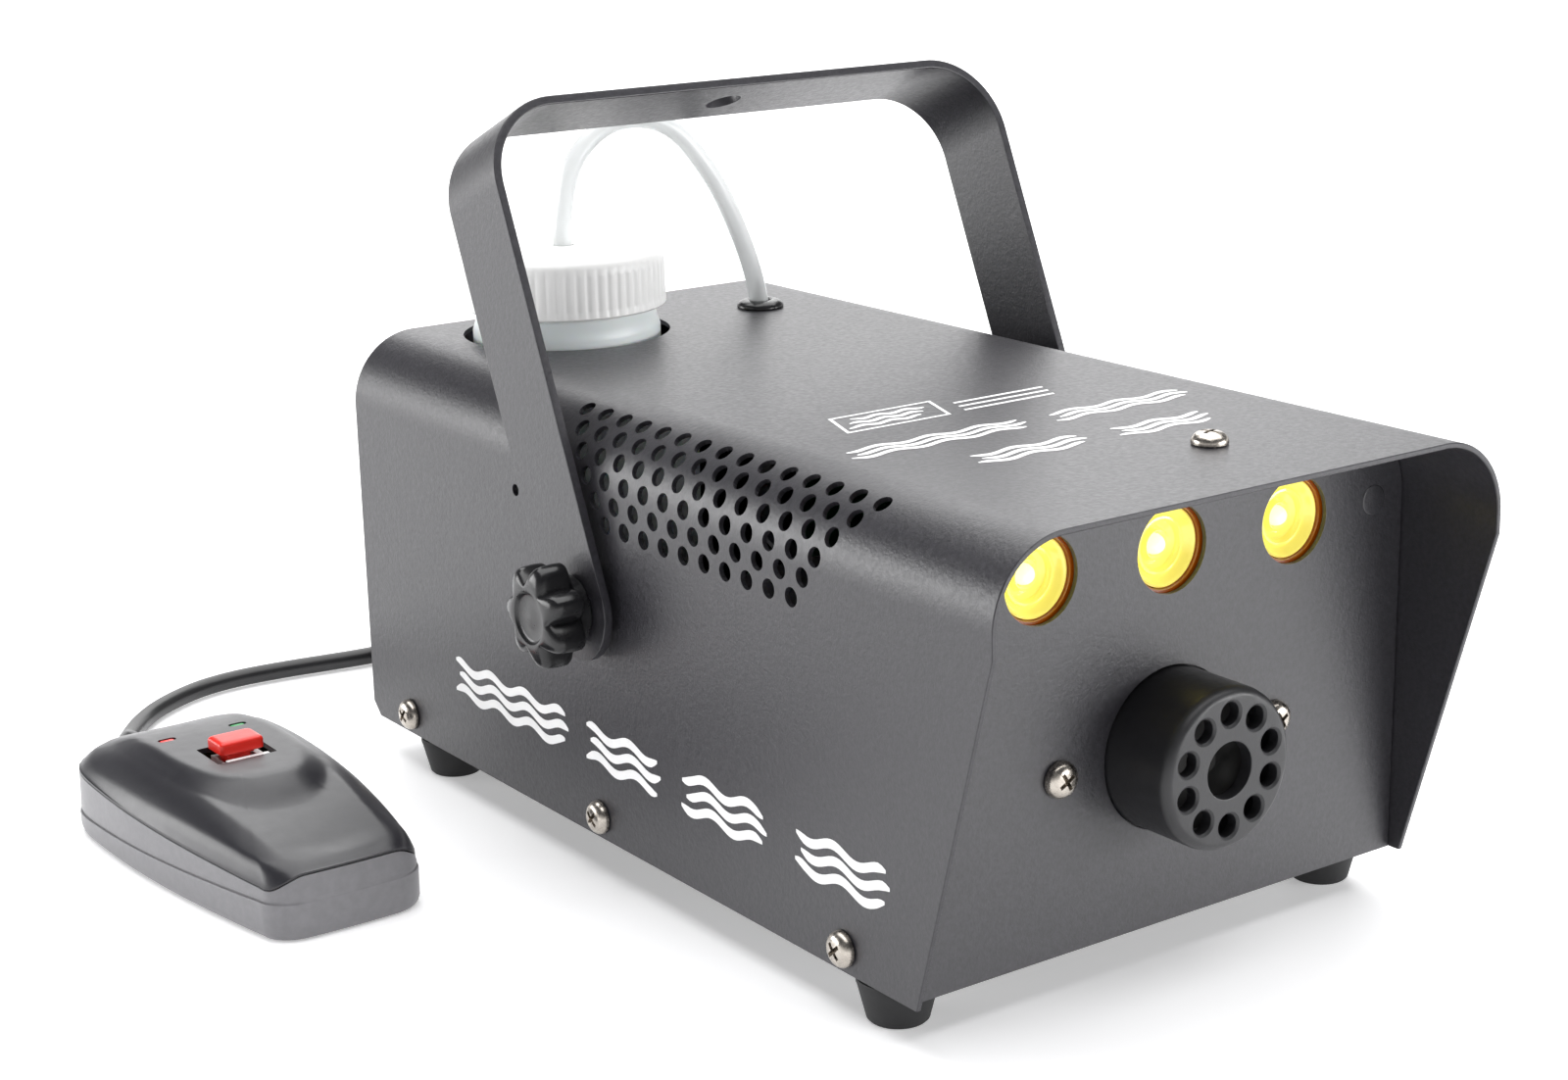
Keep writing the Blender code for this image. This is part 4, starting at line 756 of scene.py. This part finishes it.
CAP_Z0, CAP_Z1 = 120.4, 135.1
def ribs(k, r, t):
    return r - (0.34 * (0.5 + 0.5 * cos(60 * t)) ** 2 if 2 <= k <= 5 else 0.0)
cap = lathe("cap_shell", [(25.7, CAP_Z0), (26.2, CAP_Z0 + 0.5), (26.2, CAP_Z0 + 2.0), (26.1, CAP_Z0 + 2.6), (26.1, CAP_Z0 + 11.0), (26.0, CAP_Z1 - 3.2), (25.8, CAP_Z1 - 1.8), (25.2, CAP_Z1 - 0.8), (24.2, CAP_Z1 - 0.15),
                          (23.2, CAP_Z1), (20.5, CAP_Z1), (20.0, CAP_Z1 - 0.35), (19.5, CAP_Z1 - 0.4), (7.0, CAP_Z1 - 0.4), (6.4, CAP_Z1 - 0.3), (5.6, CAP_Z1 + 0.7), (5.0, CAP_Z1 + 1.0), (3.2, CAP_Z1 + 1.0), (2.8, CAP_Z1 + 0.7),
                          (2.8, 131.5), (21.6, 131.5), (21.6, CAP_Z0)], 'Z', (TANK_X, TANK_Y, 0), 480, WHITE, ring=True, wave=ribs)
put(cap, "tank_cap", ["tank_cap"], 38)
HOSE_PTS = [(TANK_X, TANK_Y, 34.3), (TANK_X, TANK_Y, 80.0), (TANK_X, TANK_Y, 128.0), (TANK_X, TANK_Y, 142.0), (TANK_X + 4.5, TANK_Y - 0.4, 158.0),
            (-7.0, 203.4, 166.5), (8.0, 201.6, 164.0), (20.0, 200.0, 150.0), (28.5, 198.8, 132.0), (HOSE_X - 0.6, 198.1, 117.0),
            (HOSE_X, HOSE_Y, 106.0), (HOSE_X, HOSE_Y, 90.0), (HOSE_X, HOSE_Y, 64.3)]
hose = tube("feed_hose", smooth_path(HOSE_PTS, 2.5), lambda k: HOSE_R, 20, HOSEM)
put(hose, "fluid_line", ["fluid_hose"], 60, False)
grom = lathe("feed_grommet", [(2.9, 115.2), (3.4, 115.6), (4.6, 115.5), (5.7, 115.0), (6.3, 114.3), (6.3, ZT + GAP), (3.9, ZT + GAP), (3.9, ZT - SHEET - GAP), (5.8, ZT - SHEET - GAP), (5.8, 110.6), (5.4, 110.3), (3.0, 110.3),
                              (2.9, 110.6)], 'Z', (HOSE_X, HOSE_Y, 0), 48, GLOSSBLK, ring=True)
put(grom, "housing", ["hose_grommet"], 45)

# ---- rear controls ------------------------------------------------------------------------------------
sf = prism("switch_bezel", rrect(8.0, 11.0, 1.2, 5, PORT_X2, PORT_ZH), 'Y', YR, YR + 1.6, GLOSSBLK)
boolean(sf, prism("b", rrect(6.5, 9.5, 0.4, 2, PORT_X2, PORT_ZH), 'Y', YR - 20.0, YR + 0.8), 'UNION')
boolean(sf, prism("b", rrect(5.2, 8.2, 0.3, 2, PORT_X2, PORT_ZH), 'Y', YR - 12.0, YR + 6.0))
bevel(sf, 0.3, 3, 40)
put(sf, "housing", ["power_switch_frame"], 30)
RK_Y = LEN - 4.0
top_arc = [(-6.9 + 13.8 * i / 14, 4.1 + 2.1 * ((i - 7) / 7) ** 2) for i in range(15)]
rk = top_arc + [(6.3, -3.0), (3.0, -5.2), (-3.0, -5.2), (-6.3, -3.0)]
a = radians(8.0)
rk = [(z * sin(a) + y * cos(a), z * cos(a) - y * sin(a)) for (z, y) in rk]
rocker = prism("rocker_key", rk, 'X', PORT_X2 - 4.8, PORT_X2 + 4.8, RED, (0, RK_Y, PORT_ZH))
bevel(rocker, 0.3, 3, 40)
put(rocker, "power_rocker", ["power_rocker"], 30)
inlet = prism("inlet_housing", rrect(15.5, 12.0, 3.0, 6, PORT_X2, PORT_ZL), 'Y', YR, YR + 2.2, SATINBLK)
boolean(inlet, prism("b", rrect(13.4, 9.9, 1.8, 4, PORT_X2, PORT_ZL), 'Y', YR - 22.0, YR + 1.0), 'UNION')
sock = [(-11.6, -8.0), (11.6, -8.0), (11.6, 3.5), (7.0, 8.0), (-7.0, 8.0), (-11.6, 3.5)]
boolean(inlet, prism("s", [(PORT_X2 + p[0], PORT_ZL + p[1]) for p in sock], 'Y', YR - 16.0, YR + 8.0))
bevel(inlet, 0.3, 3, 40)
put(inlet, "housing", ["mains_inlet"], 30)
for k, (dx, dz) in enumerate(((-7, -2.5), (0, 2.5), (7, -2.5))):
    pin = box("inlet_pin_%d" % k, PORT_X2 + dx - 1.0, PORT_X2 + dx + 1.0, YR - 15.99, YR - 3.0, PORT_ZL + dz - 2.0, PORT_ZL + dz + 2.0, NICKEL)
    bevel(pin, 0.35, 3, 40)
    put(pin, "housing", (), 30)
fuse = lathe("fuse_cap", [(0, YR + 5.0), (5.0, YR + 5.0), (5.4, YR + 4.8), (6.4, YR + 4.0), (6.7, YR + 3.5), (7.0, YR + 1.2), (8.2, YR + 1.0), (8.4, YR + 0.8), (8.4, YR), (6.0, YR), (6.0, YR - 24.0),
                          (3.0, YR - 24.0), (3.0, YR - 30.0), (0, YR - 30.0)], 'Y', (PORT_X1, 0, PORT_ZH), 96, SATINBLK, wave=lambda k, r, t: r - (0.25 * (0.5 + 0.5 * cos(24 * t)) if k in (4, 5) else 0))
boolean(fuse, box("s", PORT_X1 - 4.0, PORT_X1 + 4.0, YR + 4.0, YR + 8.0, PORT_ZH - 0.7, PORT_ZH + 0.7))
put(fuse, "housing", ["fuse_holder"], 35)
rs = lathe("socket_ring", [(5.2, YR + 1.4), (8.8, YR + 1.4), (9.2, YR + 1.2), (9.4, YR + 0.9), (9.4, YR), (7.0, YR), (7.0, YR - 16.0), (0, YR - 16.0), (0, YR - 10.0), (5.2, YR - 10.0)], 'Y', (PORT_X1, 0, PORT_ZL), 48, NICKEL, ring=True)
put(rs, "housing", ["remote_socket"], 35)

# ---- feet and screws -----------------------------------------------------------------------------------
for sx, a_ in ((-1, "left"), (1, "right")):
    for y, b_ in ((FOOT_YF, "front"), (FOOT_YR, "rear")):
        o = lathe("pad_%s_%s" % (b_, a_), [(0, 0.5), (2.6, 0.5), (3.0, 0.0), (6.3, 0), (6.8, 0.5), (8.6, FOOT_H - 2.2), (8.9, FOOT_H - 1.4), (8.9, FOOT_H - GAP), (2.6, FOOT_H - GAP), (2.6, 13.2), (0, 13.2)],
                  'Z', (sx * FOOT_X, y, 0), 48, RUBBER)
        put(o, "housing", ["foot_%s_%s" % (b_, a_)], 35)

def screw(name, node, p, rot):
    head = [(4.1, 0.0), (4.1, 0.55), (3.95, 1.1), (3.6, 1.65), (3.0, 2.15), (2.2, 2.45), (1.2, 2.58), (0, 2.6)]
    o = lathe(name, [(0, -5.0), (1.5, -5.0), (1.8, -4.6), (1.8, 0.0)] + head, 'Z', (0, 0, 0), 48, NICKEL)
    n = 4
    cross = []
    for k in range(2):
        hx_, hy_ = (2.35, 0.48) if k == 0 else (0.48, 2.35)
        top, bot = [(sx * (hx_ + 0.05), sy * (hy_ + 0.05)) for sx, sy in ((-1, -1), (1, -1), (1, 1), (-1, 1))], [(sx * hx_ * 0.62, sy * hy_ * 0.75) for sx, sy in ((-1, -1), (1, -1), (1, 1), (-1, 1))]
        cross.append(rings("x", [[(q[0], q[1], 1.0) for q in bot], [(q[0], q[1], 3.2) for q in top]]))
    cr = cross[0]
    boolean(cr, cross[1], 'UNION')
    boolean(o, cr)
    o.data.transform(Matrix.Translation(-Wp((0, 0, 0))))
    o.data.transform(Matrix.Translation(Wp(p)) @ rot)
    put(o, "housing", [node], 35)
for side, tag in ((-1, "left"), (1, "right")):
    for y, b_ in zip(SCREW_Y, ("front", "middle", "rear")):
        screw("panhead_%s_%s" % (tag, b_), "screw_%s_%s" % (tag, b_), (side * (W / 2 + GAP), y, SCREW_Z), Matrix.Rotation(radians(90 * side), 4, 'Y') @ Matrix.Rotation(radians(20 + y), 4, 'Z'))
screw("panhead_top", "screw_top", (15.0, 5.0, ZT + GAP), Matrix.Rotation(radians(15), 4, 'Z'))
for side, tag in ((-1, "left"), (1, "right")):
    screw("panhead_front_" + tag, "screw_front_" + tag, (side * 31.0, -GAP, NOZ_Z), Matrix.Rotation(radians(90), 4, 'X') @ Matrix.Rotation(radians(30), 4, 'Z'))

# ---- handset -----------------------------------------------------------------------------------------------
def half_width(t):
    if t <= 0.72:
        return 19.0 + 9.6 * sin(pi / 2 * t / 0.72)
    return 28.6 * sqrt(max(0.0, 1 - ((t - 0.72) / 0.28) ** 4))

def raw_half():
    pts = []
    # nose: nearly straight, with rounded corners into the sides
    for i in range(8):
        x = 10.5 * i / 7
        pts.append((x, REM_Y0 - 0.6 + 0.25 * (x / 10.5) ** 2))
    for i in range(1, 11):
        a_ = pi / 2 * i / 10
        pts.append((10.5 + 9.9 * sin(a_), REM_Y0 - 0.35 + 8.6 * (1 - cos(a_))))
    for i in range(1, 31):
        t = 0.085 + (0.93 - 0.085) * i / 30
        pts.append((half_width(t), REM_Y0 + REM_L * t))
    for i in range(1, 12):
        t = 0.93 + 0.07 * sin(pi / 2 * i / 12)
        pts.append((half_width(t), REM_Y0 + REM_L * t))
    for f in (0.8, 0.6, 0.4, 0.2):
        pts.append((pts[-1][0] * 0 + half_width(0.93 + 0.07 * sin(pi / 2 * 11 / 12)) * f, REM_Y0 + REM_L * 0.9997))
    pts.append((0.0, REM_Y0 + REM_L))
    return pts
HALF = raw_half()
FULL = HALF + [(-x, y) for (x, y) in reversed(HALF[1:-1])]

def outline(inset, z):
    out = []
    n = len(FULL)
    for i in range(n):
        ax, ay = FULL[i - 1]
        bx, by = FULL[(i + 1) % n]
        tx, ty = bx - ax, by - ay
        l = hypot(tx, ty)
        x, y = FULL[i][0] - inset * ty / l, FULL[i][1] + inset * tx / l
        zz = z(y) if callable(z) else z
        out.append((REM_X + x, y, zz))
    return out

def groove(dz):
    return lambda y: 9.3 - 4.4 * (y - REM_Y0) / REM_L + dz
ZC = 15.5

def sm(a, b, x):
    t = max(0.0, min(1.0, (x - a) / (b - a)))
    return t * t * (3 - 2 * t)

# the joint between the shells: level across the nose, low at the front corners, rising to the rear
def joint_z(i, y):
    k = min(i, len(FULL) - i)
    side = 11.8 + 4.0 * max(0.0, min(1.0, (y - REM_Y0 - 4.0) / (REM_L - 16.0))) ** 0.85
    w = sm(7.5, 15.0, k)
    return 15.5 * (1 - w) + side * w

def joint_row(inset, dz=0.0):
    return [(p[0], p[1], joint_z(i, p[1]) + dz) for i, p in enumerate(outline(inset, 0.0))]

# the moulding line runs along the flanks and the rear and fades out across the nose
def faded(inset, flat, z):
    out = []
    for i, (p, q) in enumerate(zip(outline(inset, z), outline(flat, z))):
        w = sm(8.0, 16.0, min(i, len(FULL) - i))
        out.append((q[0] + (p[0] - q[0]) * w, q[1] + (p[1] - q[1]) * w, p[2]))
    return out

base_rows = [outline(2.4, 0.0), outline(1.4, 0.25), outline(0.8, 0.9), outline(0.45, 2.0), outline(0.35, groove(-0.35)), outline(0.45, groove(-0.15)), faded(0.95, 0.5, groove(0.0)), faded(1.0, 0.58, groove(0.35)),
             faded(0.75, 0.62, groove(0.55)), outline(0.7, groove(0.9)), joint_row(0.95, -0.9), joint_row(1.0, -0.15), joint_row(1.15, 0.0), joint_row(2.6, 0.0), outline(2.8, 2.0)]
rb = rings("handset_base", base_rows, LIGHTG)
put(rb, "handset", ["remote_base_shell"], 38)

Z1 = ZC + GAP
def lut(tab, t):
    # smooth curve through (t, value) pairs
    if t <= tab[0][0]:
        return tab[0][1]
    if t >= tab[-1][0]:
        return tab[-1][1]
    i = max(k for k in range(len(tab) - 1) if tab[k][0] <= t)
    (t0, a0), (t1, a1) = tab[i], tab[i + 1]
    am, ap = tab[max(0, i - 1)], tab[min(len(tab) - 1, i + 2)]
    m0 = (a1 - am[1]) / max(1e-6, t1 - am[0])
    m1 = (ap[1] - a0) / max(1e-6, ap[0] - t0)
    h, x = t1 - t0, (t - t0) / (t1 - t0)
    return (2 * x ** 3 - 3 * x ** 2 + 1) * a0 + (x ** 3 - 2 * x ** 2 + x) * h * m0 + (3 * x ** 2 - 2 * x ** 3) * a1 + (x ** 3 - x ** 2) * h * m1

CROWN = [(0, 8.6), (30, 9.2), (50, 9.6), (66, 9.7), (80, 9.3), (92, 7.7), (102, 4.8), (108, 2.6), (112.6, 0.1)]
RIDGE = [(0, 0.1), (3, 0.9), (12, 2.7), (24, 4.7), (36, 6.1), (50, 7.1), (66, 7.7), (80, 7.4), (92, 6.1), (102, 3.9), (108, 2.2), (112.6, 0.1)]

def width_at(t):
    if t < 8.2:
        return 10.5 + 9.9 * sqrt(max(0.0, 1 - ((8.2 - t) / 8.6) ** 2))
    return max(2.0, half_width(min(0.999, t / REM_L)))

def top_z(x, y):
    t = y - REM_Y0
    hw = max(1.0, width_at(t) - 1.0)
    xr = min(12.0 + 3.0 * sm(0.0, 50.0, t), hw * 0.62)
    over = max(0.0, abs(x) - xr) / max(0.5, hw - xr)
    edge = 1 - min(1.0, over) ** 2.0 * (1 - 0.45 * sm(88, 112, t))
    low = lut(RIDGE, t) - 1.0 * max(0.0, 1 - (x / (xr + 1.5)) ** 2) * sm(1.0, 12.0, t) * (1 - sm(34.0, 52.0, t))
    q = (abs(x) / 16.5) ** 2.6 + (abs(t - 75.0) / (38.5 if t < 75 else 46.0)) ** 2.6
    p = 1 - sm(0.60, 1.50, q)
    z = (low + (max(low, lut(CROWN, t)) - low) * p) * edge
    d = hypot(x * 0.85, t - 113.0)
    return max(0.0, z - 0.7 * (1 - sm(12.5, 14.2, d)) * sm(0.0, 2.0, z))

def dome(s, dz):
    out = []
    base = outline(1.0, 0.0)
    for i, p in enumerate(base):
        ux, uy = p[0] - REM_X, p[1] - RY
        x, y = ux * s, RY + uy * s
        low = joint_z(i, p[1]) + GAP
        full = Z1 + top_z(x, y) * min(1.0, (1 - s) / 0.02)
        f = min(1.0, (1 - s) / 0.085)
        f = 1 - (1 - f) ** 2.6
        out.append((REM_X + x, y, dz + low + (full - low) * f))
    return out
S = [0.995, 0.988, 0.975] + [0.96 - 0.02 * k for k in range(33)] + [0.28, 0.24, 0.19, 0.13, 0.06]
n = len(FULL)
edge = outline(1.0, Z1)
outer = [joint_row(1.0, GAP), joint_row(1.03, GAP + 0.45)] + [[(q[0], q[1], q[2] + 0.45) for q in dome(s, 0.0)] for s in S]
innr = [[(REM_X + (q[0] - REM_X) * 0.95, RY + (q[1] - RY) * 0.95, q[2] - 0.9) for q in dome(s, 0.0)] for s in (0.06, 0.2, 0.35, 0.45, 0.5, 0.55, 0.6, 0.65, 0.7, 0.75, 0.8, 0.85, 0.89)]
lip = [(REM_X + (p[0] - REM_X) * 0.93, RY + (p[1] - RY) * 0.93, p[2]) for p in joint_row(1.0, GAP)]
allrows = [lip] + outer + innr
vs = [p for row in allrows for p in row]
fs = []
def band(k, l):
    for i in range(n):
        j = (i + 1) % n
        fs.append((k * n + i, k * n + j, l * n + j, l * n + i))
ko = len(outer)
for k in range(0, ko):
    band(k, k + 1)
for k in range(ko + 1, len(allrows) - 1):
    band(k, k + 1)
band(len(allrows) - 1, 0)
for k in (ko, ko + 1):
    row = allrows[k]
    vs.append((REM_X, RY, sum(p[2] for p in row) / n + 0.01))
    for i in range(n):
        fs.append((len(vs) - 1, k * n + i, k * n + (i + 1) % n))
rt = obj_from("handset_top", vs, fs, DARKG)
CUT = (REM_X - 7.75, REM_X + 7.75, 181.5, 194.5)
LEDS = ((REM_X - 10.0, 207.0), (REM_X + 8.8, 207.0))
cuts = [prism("c", rrect(7.75, 6.5, 0.5, 4, REM_X, 188.0), 'Z', 17.5, 40.0)]
for lx, ly in LEDS:
    cuts.append(prism("c", rrect(2.3, 1.3, 1.15, 6, lx, ly), 'Z', 17.5, 40.0))
boolean(rt, cuts)
put(rt, "handset", ["remote_top_shell"], 34)
sw = box("switch_block", CUT[0] + 3.4, CUT[1] - 0.8, CUT[2] + 0.4, CUT[3] - 0.4, 5.0, 24.0, WHITE)
boolean(sw, [prism("c", rrect(4.3, 2.95, 0.3, 3, REM_X + 0.7, 189.6), 'Z', 20.8, 27.0)])
bevel(sw, 0.25, 2, 40)
put(sw, "handset", ["remote_switch_body"], 30)
rows = []
for (z, ins, r) in ((25.0, 1.9, 0.5), (25.9, 1.9, 0.5), (25.9, 0.35, 0.9), (26.15, 0.05, 1.0), (28.2, 0.0, 1.1), (28.75, 0.25, 1.0), (29.05, 0.75, 0.8), (29.2, 1.5, 0.6)):
    rows.append([(p[0], p[1], z) for p in rrect(5.8 - ins, 4.2 - ins, r, 6, REM_X + 0.7, 189.9)])
bt = rings("push_button", rows, RED)
put(bt, "handset_button", ["remote_button"], 40)
lip_w = box("switch_lip", CUT[0] + 3.4, CUT[1] - 0.8, CUT[2] + 0.35, 185.25, 23.0, 25.1, WHITE)
bevel(lip_w, 0.3, 2, 40)
put(lip_w, "handset", (), 30)
stem = box("button_stem", REM_X - 3.2, REM_X + 3.2, 189.2 - 2.2, 189.2 + 2.2, 23.0, 25.6, RED)
bevel(stem, 0.3, 2, 40)
put(stem, "handset_button", (), 30)
for (lx, ly), nm, mm_ in zip(LEDS, ("red", "green"), (LEDR, LEDG)):
    rows = []
    for (z, ins, r) in ((8.0, 0.0, 0.9), (24.7, 0.0, 0.9), (25.15, 0.2, 0.7), (25.4, 0.6, 0.3)):
        rows.append([(p[0], p[1], z) for p in rrect(2.15 - ins, 1.1 - ins, min(r, 1.08 - ins), 6, lx, ly)])
    o = rings("indicator_" + nm, rows, mm_)
    put(o, "handset", ["remote_led_" + nm], 40)
sr = lathe("handset_boot", [(0, 240.3), (4.3, 240.3), (4.6, 240.7), (4.5, 242.6), (3.9, 242.9), (3.9, 243.8), (4.4, 244.1), (4.25, 245.6), (3.6, 245.9), (3.6, 246.8), (4.05, 247.1), (3.9, 248.6), (3.3, 248.9), (3.3, 249.7),
                            (3.65, 250.0), (3.5, 251.5), (3.2, 252.0), (0, 252.0)], 'Y', (REM_X, 0, 9.5), 40, SATINBLK)
put(sr, "handset", ["remote_strain_relief"], 42)

# ---- CAD nodes that stay as they are: finished materials -------------------------------------------------------
# the base tray's darker coat is painted shade seen through the vents
KEEP = {"base_tray": COAT_INNER_SHADE, "pivot_nut_left": STEEL, "pivot_nut_right": STEEL, "nozzle_tip": NOZZLE_SHADE_STEEL, "heater_block": ALU, "heater_bracket_front": STEEL, "heater_bracket_rear": STEEL,
        "thermostat": STEEL, "pump_body": STEEL, "pump_bracket": STEEL, "pump_feed_pipe": BRASS, "cap_seal": RUBBER, "hose_filter": STEEL, "led_board": PCB, "control_board": PCB}
for name, m in KEEP.items():
    o = N[name]
    if isinstance(o, str):
        o = bpy.data.objects[o]
    for sl in o.material_slots:
        sl.material = m
    if not o.material_slots:
        o.data.materials.append(m)

# ---- studio ------------------------------------------------------------------------------------------------------
def plane(name, pts, m):
    me = bpy.data.meshes.new(name)
    me.from_pydata(pts, [], [(0, 1, 2, 3)])
    o = bpy.data.objects.new(name, me)
    scene.collection.objects.link(o)
    me.materials.append(m)
    return o
FLOOR = Mat("studio_floor", (0.93, 0.93, 0.94), 0.6, Emission_Color=(1, 1, 1, 1), Emission_Strength=0.35)
FLOOR.vary(3, 0.01)
floor = plane("studio_floor", [(-8, -8, -0.0002), (8, -8, -0.0002), (8, 8, -0.0002), (-8, 8, -0.0002)], FLOOR.m)
world = bpy.data.worlds.new("studio")
scene.world = world
world.use_nodes = True
wt = world.node_tree
bg = wt.nodes["Background"]
wc = wt.nodes.new("ShaderNodeTexCoord")
ws = wt.nodes.new("ShaderNodeSeparateXYZ")
wr = wt.nodes.new("ShaderNodeValToRGB")
wr.color_ramp.elements[0].position = 0.06
wr.color_ramp.elements[0].color = (1, 1, 1, 1)
wr.color_ramp.elements[1].position = 0.34
wr.color_ramp.elements[1].color = (0.14, 0.14, 0.145, 1)
wt.links.new(wc.outputs["Generated"], ws.inputs["Vector"])
wt.links.new(ws.outputs["Z"], wr.inputs["Fac"])
wt.links.new(wr.outputs["Color"], bg.inputs["Color"])
bg.inputs["Strength"].default_value = 0.95

def area(name, loc, look, size, power, size_y=None, col=(1, 1, 1)):
    d = bpy.data.lights.new(name, 'AREA')
    d.energy = power
    d.color = col
    d.size = size
    if size_y:
        d.shape = 'RECTANGLE'
        d.size_y = size_y
    o = bpy.data.objects.new(name, d)
    scene.collection.objects.link(o)
    o.location = loc
    o.rotation_euler = (Vector(look) - Vector(loc)).to_track_quat('-Z', 'Y').to_euler()
    return o
area("overhead", (0.55, 0.20, 2.1), (0.55, 0.20, 0.0), 3.0, 90, 3.0)
area("rear_floor", (1.7, 2.6, 1.9), (1.5, 2.2, 0.0), 2.4, 42, 2.0)
area("rear_bank", (1.2, 1.9, 0.62), (0, 0, 0.1), 2.0, 7, 0.9)
area("left_bank", (-1.7, 1.5, 0.45), (0, 0, 0.05), 1.8, 25, 0.8)
area("right_front", (1.3, -1.7, 0.35), (0, 0, 0.06), 1.6, 24, 0.6)
